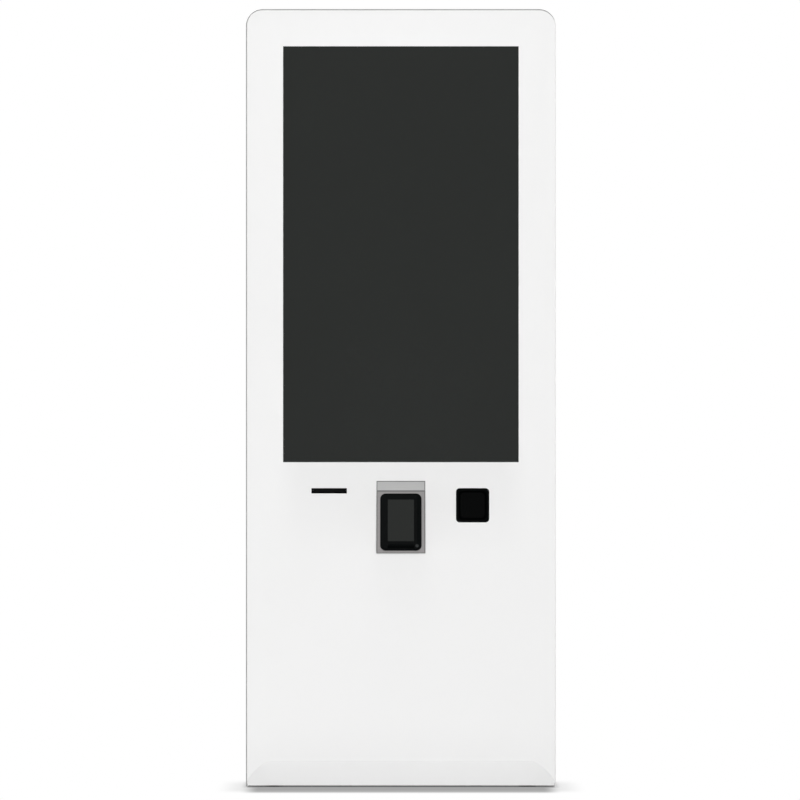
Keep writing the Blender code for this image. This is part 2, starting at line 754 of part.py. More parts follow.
def make_frame():
    """Two tube uprights, two cross rails and the two brackets that the display hangs on."""
    top = BODY_HEIGHT - UPRIGHT_TOP_DROP
    for name, left in (("upright_left", -UPRIGHT_INNER - UPRIGHT_SIZE), ("upright_right", UPRIGHT_INNER)):
        right = left + UPRIGHT_SIZE
        post = box(name, left, right, FRAME_FRONT, FRAME_BACK, BASE_TOP + SEAT_GAP, top, "zinc_steel")
        bore = box("bore_tool", left + UPRIGHT_WALL, right - UPRIGHT_WALL, FRAME_FRONT + UPRIGHT_WALL,
                   FRAME_BACK - UPRIGHT_WALL, 0.0, BODY_HEIGHT)
        cut(post, bore)
    end = UPRIGHT_INNER - SEAT_GAP
    for name, middle in (("display_rail_lower", SCREEN_MID - RAIL_SPACING / 2),
                         ("display_rail_upper", SCREEN_MID + RAIL_SPACING / 2)):
        low = middle - RAIL_HEIGHT / 2
        high = middle + RAIL_HEIGHT / 2
        path = [(FRAME_BACK, low), (FRAME_FRONT, low), (FRAME_FRONT, high), (FRAME_BACK, high)]
        prism(name, "x", folded(path, -SHEET), -end, end, "zinc_steel")
    reach = RAIL_SPACING / 2 + RAIL_HEIGHT / 2 + BRACKET_OVERHANG
    back = BRACKET_FRONT + BRACKET_DEPTH
    for name, middle in (("display_bracket_left", -BRACKET_SPACING / 2),
                         ("display_bracket_right", BRACKET_SPACING / 2)):
        left = middle - BRACKET_WIDTH / 2
        right = middle + BRACKET_WIDTH / 2
        path = [(left, back), (left, BRACKET_FRONT), (right, BRACKET_FRONT), (right, back)]
        prism(name, "z", folded(path, SHEET), SCREEN_MID - reach, SCREEN_MID + reach, "zinc_steel")


def screen_outline(lap, radius):
    """Screen opening grown by a lap on every side."""
    return centred(0.0, SCREEN_MID, SCREEN_WIDTH + 2 * lap, SCREEN_HEIGHT + 2 * lap, radius)


def make_display():
    """Seal, touch glass and display module stacked behind the screen opening."""
    seal_back = SEAL_FRONT + SCREEN_SEAL
    outer = screen_outline(GLASS_LAP, SHEET)
    inner = screen_outline(SEAL_INSET, SEAL_INSET)
    loft("screen_gasket", "y", [(outer, SEAL_FRONT), (outer, seal_back), (inner, seal_back),
                                (inner, SEAL_FRONT)], "black_rubber", looped=True)
    prism("touch_glass", "y", outer, GLASS_FRONT, GLASS_FRONT + GLASS_THICK, "screen_glass")
    frame = screen_outline(DISPLAY_LAP, SHEET)
    cover = screen_outline(DISPLAY_LAP - DISPLAY_COVER_INSET, SHEET)
    crown = screen_outline(DISPLAY_LAP - DISPLAY_COVER_INSET - DISPLAY_COVER_DEPTH / 4, SHEET)
    shoulder = DISPLAY_BACK - DISPLAY_COVER_DEPTH / 4
    module = loft("display_module", "y", [
        (frame, DISPLAY_FRONT), (frame, DISPLAY_STEP), (cover, DISPLAY_STEP), (cover, shoulder),
        (crown, DISPLAY_BACK)], "dark_plastic")
    slots = []
    pitch = SCREEN_WIDTH / 24
    for row in (SCREEN_MID - SCREEN_HEIGHT / 3.2, SCREEN_MID + SCREEN_HEIGHT / 3.2):
        for index in range(-6, 7):
            middle = index * pitch
            slots.append((middle - pitch / 5, middle + pitch / 5, DISPLAY_BACK - SHEET, DISPLAY_BACK + SHEET,
                          row - RAIL_HEIGHT, row + RAIL_HEIGHT))
    cut(module, blocks("vent_tool", slots))


# Receipt slot, printer and paper

def make_slot_bezel():
    """Black frame of the receipt slot, with a flange behind the front sheet."""
    width = SLOT_WIDTH - 2 * SEAT_GAP
    height = SLOT_HEIGHT - 2 * SEAT_GAP
    nose = centred(SLOT_X, SLOT_Z, width, height, SLOT_RADIUS)
    flange = centred(SLOT_X, SLOT_Z, width + 2 * SLOT_FLANGE, height + 2 * SLOT_FLANGE, SLOT_RADIUS)
    mouth = centred(SLOT_X, SLOT_Z, SLOT_MOUTH_WIDTH, SLOT_MOUTH_HEIGHT, SLOT_RADIUS)
    funnel = centred(SLOT_X, SLOT_Z, SLOT_MOUTH_WIDTH + SHEET, SLOT_MOUTH_HEIGHT + SHEET, SLOT_RADIUS)
    step = SHEET + SEAT_GAP
    loft("slot_bezel", "y", [(nose, -SLOT_PROUD), (nose, step), (flange, step), (flange, BEZEL_BACK),
                             (mouth, BEZEL_BACK), (mouth, SHEET / 2), (funnel, -SLOT_PROUD)],
         "black_plastic", looped=True)


def make_printer():
    """Printer chassis with its platen, hinged cover and feed button."""
    left = SLOT_X - PRINTER_HALF
    right = SLOT_X + PRINTER_HALF
    chassis = box("printer_chassis", left, right, PRINTER_FRONT, PRINTER_BACK, PRINTER_LOW, PRINTER_TOP,
                  "dark_plastic")
    ears = []
    for side in (-1, 1):
        near = SLOT_X + side * (COVER_HALF + RUN_GAP)
        far = SLOT_X + side * PRINTER_HALF
        ears.append((min(near, far), max(near, far), COVER_PIN_Y - COVER_EAR, COVER_PIN_Y + COVER_EAR,
                     PRINTER_TOP - SHEET, COVER_PIN_Z + COVER_EAR))
    join(chassis, blocks("ear_tool", ears))
    inner = CHANNEL_WIDTH / 2
    channel = box("channel_tool", SLOT_X - inner, SLOT_X + inner, PRINTER_FRONT + PRINTER_FRONT_WALL,
                  PRINTER_BACK + SHEET, PLATEN_Z - PLATEN_RADIUS - SHEET, PRINTER_TOP + SHEET)
    mouth = box("exit_tool", SLOT_X - inner, SLOT_X + inner, PRINTER_FRONT - SHEET,
                PRINTER_FRONT + PRINTER_FRONT_WALL + SHEET, SLOT_Z - PRINTER_EXIT_HEIGHT / 2,
                SLOT_Z + PRINTER_EXIT_HEIGHT / 2)
    through = (left - SHEET, right + SHEET)
    shaft = rods("shaft_tool", "x", ((PLATEN_Y, PLATEN_Z),), PLATEN_SHAFT + RUN_GAP, *through)
    pins = rods("pin_tool", "x", ((COVER_PIN_Y, COVER_PIN_Z),), COVER_PIN + RUN_GAP, *through)
    feed = rods("feed_tool", "y", ((FEED_X, FEED_Z),), FEED_RADIUS + RUN_GAP,
                PRINTER_BACK - FEED_LENGTH - FEED_TRAVEL - RUN_GAP, PRINTER_BACK + SHEET)
    cut(chassis, channel, mouth, shaft, pins, feed)

    roll = inner - RUN_GAP
    end = PRINTER_HALF - SEAT_GAP
    platen = turned("platen_roller", "x", PLATEN_Y, PLATEN_Z, [
        (PLATEN_SHAFT, SLOT_X - end), (PLATEN_SHAFT, SLOT_X - roll), (PLATEN_RADIUS, SLOT_X - roll),
        (PLATEN_RADIUS, SLOT_X + roll), (PLATEN_SHAFT, SLOT_X + roll), (PLATEN_SHAFT, SLOT_X + end)],
        "black_rubber")
    turns_at(platen, SLOT_X, PLATEN_Y, PLATEN_Z)

    cover = box("printer_cover", SLOT_X - COVER_HALF, SLOT_X + COVER_HALF, PRINTER_FRONT + COVER_SET_BACK,
                COVER_PIN_Y, COVER_LOW, COVER_LOW + COVER_THICK, "light_plastic")
    head = box("head_tool", SLOT_X - inner + SHEET, SLOT_X + inner - SHEET, PLATEN_Y - HEAD_LENGTH / 2,
               PLATEN_Y + HEAD_LENGTH / 2, SLOT_Z + RUN_GAP, COVER_LOW + SHEET)
    barrel = turned("barrel_tool", "x", COVER_PIN_Y, COVER_PIN_Z, [
        (COVER_PIN, SLOT_X - end), (COVER_PIN, SLOT_X - COVER_HALF), (COVER_BARREL, SLOT_X - COVER_HALF),
        (COVER_BARREL, SLOT_X + COVER_HALF), (COVER_PIN, SLOT_X + COVER_HALF), (COVER_PIN, SLOT_X + end)])
    turns_at(join(cover, head, barrel), SLOT_X, COVER_PIN_Y, COVER_PIN_Z)

    button = rods("printer_feed_button", "y", ((FEED_X, FEED_Z),), FEED_RADIUS, PRINTER_BACK - FEED_LENGTH,
                  PRINTER_BACK + FEED_PROUD, "green_plastic", steps=20)
    turns_at(button, FEED_X, PRINTER_BACK, FEED_Z)


def make_paper():
    """Printer shelf, roll holder and the paper roll."""
    left = -UPRIGHT_INNER + SEAT_GAP
    right = SLOT_X + PRINTER_HALF + SHELF_LIP
    path = [(left, SHELF_TOP - SHELF_FLANGE), (left, SHELF_TOP), (right, SHELF_TOP),
            (right, SHELF_TOP - SHELF_LIP)]
    prism("printer_shelf", "y", folded(path, -SHEET), PRINTER_FRONT,
          ROLL_Y + ROLL_RADIUS, "zinc_steel")
    inner = ROLL_WIDTH / 2 + RUN_GAP
    low = SHELF_TOP + SEAT_GAP
    top = ROLL_Z + 1.5 * ROLL_CORE
    path = [(SLOT_X - inner - SHEET, top), (SLOT_X - inner - SHEET, low), (SLOT_X + inner + SHEET, low),
            (SLOT_X + inner + SHEET, top)]
    front = ROLL_Y - ROLL_ARM_DEPTH / 2
    holder = prism("roll_holder", "y", folded(path, SHEET), front, front + ROLL_ARM_DEPTH, "zinc_steel")
    for name, end in (("hub_left_tool", SLOT_X - inner), ("hub_right_tool", SLOT_X + inner - ROLL_HUB)):
        start = end - SHEET / 2 if end < SLOT_X else end
        stop = end + ROLL_HUB if end < SLOT_X else end + ROLL_HUB + SHEET / 2
        join(holder, rods(name, "x", ((ROLL_Y, ROLL_Z),), ROLL_CORE - RUN_GAP, start, stop))
    half = ROLL_WIDTH / 2
    roll = turned("paper_roll", "x", ROLL_Y, ROLL_Z, [
        (ROLL_CORE, SLOT_X - half), (ROLL_RADIUS, SLOT_X - half), (ROLL_RADIUS, SLOT_X + half),
        (ROLL_CORE, SLOT_X + half)], "paper_white", steps=48, looped=True)
    turns_at(roll, SLOT_X, ROLL_Y, ROLL_Z)


# Payment terminal

def make_terminal_cradle():
    """Folded steel hood that stands out from the front panel and holds the terminal at a slope."""
    outline = [(-SEAT_GAP, HOOD_LOW), (-SEAT_GAP, HOOD_TOP), (-HOOD_FOLD_OUT, HOOD_FOLD),
               (-HOOD_LOW_OUT, HOOD_LOW)]
    half = HOOD_WIDTH / 2
    hood = prism("terminal_cradle", "x", outline, -half, half, "brushed_steel")
    hollow = prism("hood_tool", "x", shrunk(outline, HOOD_SHEET), HOOD_SHEET - half, half - HOOD_SHEET)
    face = prism("face_tool", "y", centred(0.0, 0.0, TERMINAL_WIDTH + 2 * SEAT_GAP,
                                           TERMINAL_LENGTH + 2 * SEAT_GAP, TERMINAL_RADIUS),
                 -TERMINAL_PROUD, TERMINAL_PROUD)
    back = prism("back_tool", "y", terminal_opening(), -2 * HOOD_SHEET, SHEET)
    cut(hood, hollow, tilted(face), back)


def make_payment_terminal():
    """Terminal with a bevelled front, a scoop at the card slot, a reader block and the case behind."""
    sections = []
    for inset, depth in ((TERMINAL_BEVEL, 0.0), (TERMINAL_EDGE, TERMINAL_EDGE),
                         (0.0, TERMINAL_BEVEL), (0.0, TERMINAL_PROUD + TERMINAL_SHOULDER)):
        sections.append((centred(0.0, 0.0, TERMINAL_WIDTH - 2 * inset, TERMINAL_LENGTH - 2 * inset,
                                 TERMINAL_RADIUS - inset), depth - TERMINAL_PROUD))
    terminal = tilted(loft("payment_terminal", "y", sections, "black_plastic"))
    case = tilted(box("case_tool", -TERMINAL_BACK_WIDTH / 2, TERMINAL_BACK_WIDTH / 2, 0.0, TERMINAL_DEPTH,
                      -TERMINAL_BACK_LOW, TERMINAL_BACK_HIGH))
    reader = tilted(box("reader_tool", -READER_WIDTH / 2, READER_WIDTH / 2, 0.0, READER_DEPTH,
                        -READER_LOW, SHEET - TERMINAL_BACK_LOW))
    join(terminal, case, reader)
    half = TERMINAL_SCREEN_WIDTH / 2 + SEAT_GAP
    reach = TERMINAL_SCREEN_LENGTH / 2 + SEAT_GAP
    floor = TERMINAL_SCREEN_DEPTH - TERMINAL_PROUD
    recess = tilted(box("recess_tool", -half, half, -2 * TERMINAL_PROUD, floor,
                        TERMINAL_SCREEN_RISE - reach, TERMINAL_SCREEN_RISE + reach))
    middle = TERMINAL_Z - CARD_SLOT_DROP
    pocket = box("pocket_tool", -CARD_SLOT_WIDTH / 2, CARD_SLOT_WIDTH / 2, -2 * HOOD_LOW_OUT,
                 TERMINAL_Y - CARD_SLOT_DEPTH, middle - CARD_SLOT_HEIGHT / 2, middle + CARD_SLOT_HEIGHT / 2)
    low = -TERMINAL_LENGTH / 2
    top = low + SCOOP_LENGTH
    wide = SCOOP_WIDTH / 2 + SCOOP_FLARE
    mouth = [(-wide, low - 2 * SCOOP_WALL), (wide, low - 2 * SCOOP_WALL), (SCOOP_WIDTH / 2, top),
             (-SCOOP_WIDTH / 2, top)]
    scoop = tilted(loft("scoop_tool", "y", [
        (mouth, -2 * TERMINAL_PROUD), (mouth, -TERMINAL_PROUD),
        (shrunk(mouth, SCOOP_WALL), SCOOP_DEPTH - TERMINAL_PROUD)]))
    cut(terminal, recess, pocket, scoop)
    half -= SEAT_GAP
    reach -= SEAT_GAP
    back = floor - SEAT_GAP
    tilted(box("terminal_screen", -half, half, back - TERMINAL_SCREEN_DEPTH / 2, back,
               TERMINAL_SCREEN_RISE - reach, TERMINAL_SCREEN_RISE + reach, "screen_glass"))
    face = SHEET + SEAT_GAP
    crown = TERMINAL_REACH + SEAT_GAP
    leg = HOOD_WIDTH / 2 - HOOD_BACK_FLANGE + CLAMP_CLEARANCE
    path = [(-leg - CLAMP_FOOT, face), (-leg, face), (-leg, crown), (leg, crown), (leg, face),
            (leg + CLAMP_FOOT, face)]
    top = TERMINAL_Z - TERMINAL_DEPTH * math.sin(TILT) + TERMINAL_BACK_HIGH * math.cos(TILT)
    prism("terminal_clamp", "z", folded(path, SHEET), top - CLAMP_HEIGHT * 0.7, top + CLAMP_HEIGHT * 0.3,
          "zinc_steel")


# Ticket scanner

def make_scanner():
    """Scanner bezel, its window and the reading module behind."""
    width = SCANNER_WIDTH - 2 * SEAT_GAP
    height = SCANNER_HEIGHT - 2 * SEAT_GAP
    inset = 2 * SCANNER_RIM + 2 * SCANNER_TAPER

    def outline(grow):
        return centred(SCANNER_X, SCANNER_Z, width + grow, height + grow, SCANNER_RADIUS)

    nose = outline(0.0)
    flange = outline(2 * SCANNER_FLANGE)
    boss = outline(-2 * SHEET)
    mouth = outline(-2 * SCANNER_RIM)
    throat = outline(-inset)
    step = SHEET + SEAT_GAP
    back = step + SCANNER_FLANGE_THICK
    loft("scanner_bezel", "y", [(nose, -SCANNER_PROUD), (nose, step), (flange, step), (flange, back),
                                (boss, back), (boss, SCANNER_THROAT), (throat, SCANNER_THROAT),
                                (mouth, -SCANNER_PROUD)], "black_plastic", looped=True)
    front = SCANNER_THROAT + SEAT_GAP
    glass_back = front + SCANNER_GLASS
    prism("scanner_window", "y", boss, front, glass_back, "screen_glass")
    front = glass_back + SEAT_GAP
    waist = outline(-inset)
    shoulder = front + SCANNER_BODY_DEPTH * 0.6
    loft("scanner_module", "y", [(boss, front), (boss, shoulder), (waist, shoulder),
                                 (waist, front + SCANNER_BODY_DEPTH)], "dark_plastic")


# Equipment panel

def make_equipment():
    """Panel on the back of the uprights with the computer, supply, duct, rail and breaker."""
    back = PLATE_FRONT + EQUIPMENT_FLANGE
    path = [(back, EQUIPMENT_LOW), (PLATE_FRONT, EQUIPMENT_LOW), (PLATE_FRONT, EQUIPMENT_TOP),
            (back, EQUIPMENT_TOP)]
    prism("equipment_plate", "x", folded(path, -SHEET), -EQUIPMENT_END, EQUIPMENT_END, "zinc_steel")

    crest = EQUIPMENT_FACE + COMPUTER_BASE
    pitch = COMPUTER_WIDTH / (2 * COMPUTER_FINS - 1)
    outline = [(COMPUTER_LEFT + COMPUTER_WIDTH, EQUIPMENT_FACE), (COMPUTER_LEFT, EQUIPMENT_FACE)]
    for fin in range(COMPUTER_FINS):
        x = COMPUTER_LEFT + 2 * fin * pitch
        if fin:
            outline.append((x, crest))
        outline += [(x, COMPUTER_BACK), (x + pitch, COMPUTER_BACK)]
        if fin < COMPUTER_FINS - 1:
            outline.append((x + pitch, crest))
    prism("computer_case", "z", outline, EQUIPMENT_BASE, COMPUTER_TOP, "grey_powder_coat")

    back = EQUIPMENT_FACE + SUPPLY_DEPTH
    supply = box("power_supply", SUPPLY_RIGHT - SUPPLY_WIDTH, SUPPLY_RIGHT, EQUIPMENT_FACE, back,
                 EQUIPMENT_BASE, EQUIPMENT_BASE + SUPPLY_HEIGHT, "bare_aluminium")
    pitch = SUPPLY_WIDTH / 16
    middle = EQUIPMENT_BASE + SUPPLY_HEIGHT / 2
    slots = []
    for index in range(-5, 6):
        x = SUPPLY_RIGHT - SUPPLY_WIDTH / 2 + index * pitch
        slots.append((x - pitch / 5, x + pitch / 5, back - SHEET, back + SHEET,
                      middle - SUPPLY_HEIGHT / 3, middle + SUPPLY_HEIGHT / 3))
    cut(supply, blocks("supply_tool", slots))

    half = DUCT_WIDTH / 2
    low = EQUIPMENT_LOW + 2 * SHEET
    top = EQUIPMENT_TOP - 2 * SHEET
    back = EQUIPMENT_FACE + DUCT_DEPTH
    path = [(-half, back), (-half, EQUIPMENT_FACE), (half, EQUIPMENT_FACE), (half, back)]
    duct = prism("cable_duct", "z", folded(path, DUCT_WALL), low, top, "light_plastic")
    pitch = (top - low) / DUCT_SLOTS
    slots = []
    for index in range(DUCT_SLOTS):
        z = low + (index + 0.5) * pitch
        slots.append((-DUCT_WIDTH, DUCT_WIDTH, EQUIPMENT_FACE + DUCT_DEPTH / 3, back + SHEET,
                      z - pitch / 6, z + pitch / 6))
    cut(duct, blocks("duct_tool", slots))

    front = EQUIPMENT_FACE + RAIL_DIN_SHEET
    crown = EQUIPMENT_FACE + RAIL_DIN_DEPTH
    brim = RAIL_DIN_WIDTH / 2
    rise = RAIL_DIN_CROWN / 2
    path = [(crown, DIN_Z - brim), (crown, DIN_Z - rise), (front, DIN_Z - rise), (front, DIN_Z + rise),
            (crown, DIN_Z + rise), (crown, DIN_Z + brim)]
    prism("din_rail", "x", folded(path, RAIL_DIN_SHEET), DIN_X - RAIL_DIN_LENGTH / 2,
          DIN_X + RAIL_DIN_LENGTH / 2, "zinc_steel")


def make_breaker():
    """Two-pole breaker on the rail, with a lever that turns in its nose."""
    shoulder = BREAKER_FRONT + BREAKER_SHOULDER
    nose = shoulder + BREAKER_NOSE
    rise = BREAKER_HEIGHT / 2
    half = BREAKER_NOSE_HEIGHT / 2
    outline = [(BREAKER_FRONT, DIN_Z - rise), (shoulder, DIN_Z - rise), (shoulder, DIN_Z - half),
               (nose, DIN_Z - half), (nose, DIN_Z + half), (shoulder, DIN_Z + half),
               (shoulder, DIN_Z + rise), (BREAKER_FRONT, DIN_Z + rise)]
    case = prism("circuit_breaker", "x", outline, DIN_X - BREAKER_WIDTH / 2, DIN_X + BREAKER_WIDTH / 2,
                 "light_plastic")
    reach = LEVER_WIDTH / 2
    pocket = rods("pocket_tool", "x", ((LEVER_Y, DIN_Z),), BREAKER_HUB + RUN_GAP, DIN_X - reach - RUN_GAP,
                  DIN_X + reach + RUN_GAP)
    lift = LEVER_THICK + BREAKER_HUB * math.sin(math.radians(LEVER_REST)) + SHEET
    slot = box("slot_tool", DIN_X - reach - RUN_GAP, DIN_X + reach + RUN_GAP, LEVER_Y, nose + SHEET,
               DIN_Z - lift, DIN_Z + lift)
    cut(case, pocket, slot)

    lever = rods("breaker_lever", "x", ((LEVER_Y, DIN_Z),), BREAKER_HUB, DIN_X - reach, DIN_X + reach,
                 "dark_plastic")
    rest = math.radians(LEVER_REST)
    out = Vector((math.cos(rest), math.sin(rest)))
    side = Vector((-out.y, out.x)) * LEVER_THICK / 2
    centre = Vector((LEVER_Y, DIN_Z))
    tip = centre + out * LEVER_REACH
    arm = [tuple(centre - side), tuple(tip - side * 0.8), tuple(tip + side * 0.8), tuple(centre + side)]
    join(lever, prism("arm_tool", "x", arm, DIN_X - reach + SHEET, DIN_X + reach - SHEET))
    turns_at(lever, DIN_X, LEVER_Y, DIN_Z)


# Feet and cable entry

def make_feet():
    """Four levelling feet that screw through the base bosses, and the cable gland."""
    names = ("levelling_foot_fl", "levelling_foot_fr", "levelling_foot_rl", "levelling_foot_rr")
    places = foot_places()
    x, y = places[0]
    first = turned(names[0], "z", x, y, [
        (FOOT_PAD_RADIUS, 0.0), (FOOT_PAD_RADIUS, FOOT_PAD_HEIGHT / 2),
        (FOOT_PAD_RADIUS * 0.6, FOOT_PAD_HEIGHT), (FOOT_STEM, FOOT_PAD_HEIGHT), (FOOT_STEM, FOOT_LENGTH)],
        "black_plastic")
    turns_at(first, x, y, 0.0)
    for name, (other_x, other_y) in zip(names[1:], places[1:]):
        twin(first, name, (other_x - x, other_y - y, 0.0))
    seat = BASE_TOP + SEAT_GAP
    nut = BASE_LOW - SEAT_GAP
    turned("cable_gland", "z", 0.0, GLAND_SET_BACK, [
        (GLAND_BORE, SHEET), (GLAND_NUT, SHEET), (GLAND_NUT, nut), (GLAND_RADIUS, nut), (GLAND_RADIUS, seat),
        (GLAND_NUT, seat), (GLAND_NUT, seat + GLAND_HEIGHT * 0.5), (GLAND_RADIUS, seat + GLAND_HEIGHT * 0.8),
        (GLAND_RADIUS * 0.75, seat + GLAND_HEIGHT), (GLAND_BORE, seat + GLAND_HEIGHT)],
        "black_plastic", looped=True)


# Rear door, hinge and fans

def make_rear_door():
    """Door pan with vent slots, and the seal that meets the rain lip."""

    def outline(inset):
        return rounded(inset - DOOR_HALF, DOOR_HALF - inset, DOOR_LOW + inset, DOOR_TOP - inset,
                       DOOR_RADIUS - inset)

    door = loft("rear_door", "y", [
        (outline(SHEET / 2), DOOR_FACE), (outline(0.0), DOOR_FACE - SHEET / 2), (outline(0.0), DOOR_EDGE),
        (outline(SHEET), DOOR_EDGE), (outline(SHEET), DOOR_INSIDE)], "white_powder_coat")
    slots = []
    for side in (-1, 1):
        x = side * FAN_SPACING / 2
        for middle in (FAN_Z, DOOR_LOW + INTAKE_RISE):
            for index in range(VENT_SLOTS):
                z = middle + (index - (VENT_SLOTS - 1) / 2) * VENT_PITCH
                slots.append((x - VENT_WIDTH / 2, x + VENT_WIDTH / 2, DOOR_INSIDE - SHEET, DOOR_FACE + SHEET,
                              z - VENT_HEIGHT / 2, z + VENT_HEIGHT / 2))
    barrel = rods("barrel_tool", "y", ((LOCK_X, LOCK_HEIGHT),), LOCK_SHAFT + RUN_GAP, DOOR_INSIDE - SHEET,
                  DOOR_FACE + SHEET)
    hung(cut(door, blocks("vent_tool", slots), barrel))

    half = DOOR_SEAL_WIDTH / 2
    lip = SHEET / 2

    def ring(grow):
        return rounded(-OPENING_HALF - lip - grow, OPENING_HALF + lip + grow, OPENING_LOW - lip - grow,
                       OPENING_TOP + lip + grow, max(OPENING_RADIUS + lip + grow, lip))

    back = SEAL_BACK_FRONT + DOOR_SEAL
    hung(loft("door_gasket", "y", [(ring(half), back), (ring(half * 0.7), SEAL_BACK_FRONT),
                                   (ring(-half * 0.7), SEAL_BACK_FRONT), (ring(-half), back)],
              "black_rubber", looped=True))


def make_hinge():
    """Continuous hinge: a leaf on the frame, a leaf on the door and one long pin."""
    length = (HINGE_TOP - HINGE_LOW) / HINGE_KNUCKLES
    frame = box("hinge_leaf_frame", SEAT_GAP - INNER, HINGE_X, BODY_DEPTH + SEAT_GAP,
                BODY_DEPTH + SEAT_GAP + HINGE_LEAF, HINGE_LOW, HINGE_TOP, "bright_steel")
    door = box("hinge_leaf_door", -DOOR_HALF - SEAT_GAP - HINGE_LEAF, -DOOR_HALF - SEAT_GAP, HINGE_Y,
               DOOR_FACE - SHEET, HINGE_LOW, HINGE_TOP, "bright_steel")
    for leaf, first in ((frame, 0), (door, 1)):
        own = bmesh.new()
        others = bmesh.new()
        for index in range(HINGE_KNUCKLES):
            low = HINGE_LOW + index * length
            if index % 2 == first:
                ring = arc(HINGE_X, HINGE_Y, KNUCKLE_RADIUS, 0, 360, KNUCKLE_STEPS)[:-1]
                add_loft(own, "z", [(ring, low + RUN_GAP), (ring, low + length - RUN_GAP)], False)
            else:
                ring = arc(HINGE_X, HINGE_Y, KNUCKLE_RADIUS + RUN_GAP, 0, 360, KNUCKLE_STEPS)[:-1]
                add_loft(others, "z", [(ring, low - RUN_GAP), (ring, low + length + RUN_GAP)], False)
        join(leaf, solid("knuckle_tool", own, None))
        bore = rods("pin_tool", "z", ((HINGE_X, HINGE_Y),), HINGE_PIN + RUN_GAP, DOOR_LOW, DOOR_TOP,
                    steps=KNUCKLE_STEPS)
        cut(leaf, solid("relief_tool", others, None), bore)
    hung(door)
    rods("hinge_pin", "z", ((HINGE_X, HINGE_Y),), HINGE_PIN, HINGE_LOW, HINGE_TOP, "bright_steel",
         steps=KNUCKLE_STEPS)


def make_fans():
    """Two exhaust fans behind the upper vents: a housing with spokes, and a rotor each."""
    x = -FAN_SPACING / 2
    half = FAN_SIZE / 2
    housing = prism("fan_housing_left", "y", centred(x, FAN_Z, FAN_SIZE, FAN_SIZE, half / 10),
                    FAN_FRONT, FAN_BACK, "dark_plastic")
    cut(housing, rods("bore_tool", "y", ((x, FAN_Z),), FAN_BORE, FAN_FRONT - SHEET, FAN_BACK + SHEET))
    back = FAN_FRONT + FAN_SPIDER
    reach = (FAN_BORE + half) / 2
    level = box("level_tool", x - reach, x + reach, FAN_FRONT, back, FAN_Z - SHEET, FAN_Z + SHEET)
    upright = box("upright_tool", x - SHEET, x + SHEET, FAN_FRONT, back, FAN_Z - reach, FAN_Z + reach)
    disc = rods("disc_tool", "y", ((x, FAN_Z),), FAN_HUB, FAN_FRONT, back)
    join(housing, join(level, upright, disc))
    cut(housing, rods("shaft_tool", "y", ((x, FAN_Z),), FAN_SHAFT + RUN_GAP, FAN_FRONT - SHEET, back + SHEET))
    hung(turns_at(housing, x, FAN_FRONT, FAN_Z))
    twin(housing, "fan_housing_right", (FAN_SPACING, 0.0, 0.0))

    front = back + RUN_GAP
    end = FAN_BACK - SHEET
    rotor = turned("fan_rotor_left", "y", x, FAN_Z, [
        (FAN_SHAFT, FAN_FRONT), (FAN_SHAFT, front), (FAN_HUB, front), (FAN_HUB, end - SHEET / 2),
        (FAN_HUB - SHEET / 2, end)], "black_plastic")
    blades = bmesh.new()
    middle = (front + end) / 2
    pitch = math.radians(FAN_PITCH)
    chord = Vector((math.sin(pitch), math.cos(pitch))) * ((end - front) / 2 - SHEET) / math.cos(pitch)
    across = Vector((math.cos(pitch), -math.sin(pitch))) * FAN_BLADE_THICK / 2
    corners = (-chord - across, chord - across, chord + across, across - chord)
    for blade in range(FAN_BLADES):
        spin = 2 * math.pi * blade / FAN_BLADES
        turn = Matrix.Translation((x, middle, FAN_Z)) @ Matrix.Rotation(spin, 4, "Y")
        rings = []
        for radius in (FAN_HUB - SHEET, FAN_BORE - SHEET):
            places = [turn @ Vector((radius, depth, aside)) for aside, depth in corners]
            rings.append([blades.verts.new(place) for place in places])
        blades.faces.new(rings[0])
        blades.faces.new(rings[1])
        for index in range(4):
            after = (index + 1) % 4
            blades.faces.new((rings[0][index], rings[0][after], rings[1][after], rings[1][index]))
    join(rotor, solid("blade_tool", blades, None))
    turns_at(rotor, x, middle, FAN_Z)
    twin(rotor, "fan_rotor_right", (FAN_SPACING, 0.0, 0.0))


# Lock

def pinion_outline():
    """Gear outline with involute flanks."""
    pressure = math.radians(GEAR_PRESSURE)
    base = PITCH_RADIUS * math.cos(pressure)

    def half_width(radius):
        if radius <= base:
            roll = 0.0
        else:
            at = math.acos(base / radius)
            roll = math.tan(at) - at
        start = math.tan(pressure) - pressure
        return math.pi / (2 * GEAR_TEETH) - GEAR_BACKLASH / (4 * PITCH_RADIUS) + start - roll

    radii = (PITCH_RADIUS - ROOT_DEPTH, base, PITCH_RADIUS, PITCH_RADIUS + GEAR_MODULE)
    outline = []
    for tooth in range(GEAR_TEETH):
        middle = 2 * math.pi * tooth / GEAR_TEETH
        for side, order in ((-1, radii), (1, radii[::-1])):
            for radius in order:
                angle = middle + side * half_width(radius)
                outline.append((LOCK_X + radius * math.cos(angle), LOCK_HEIGHT + radius * math.sin(angle)))
    return outline


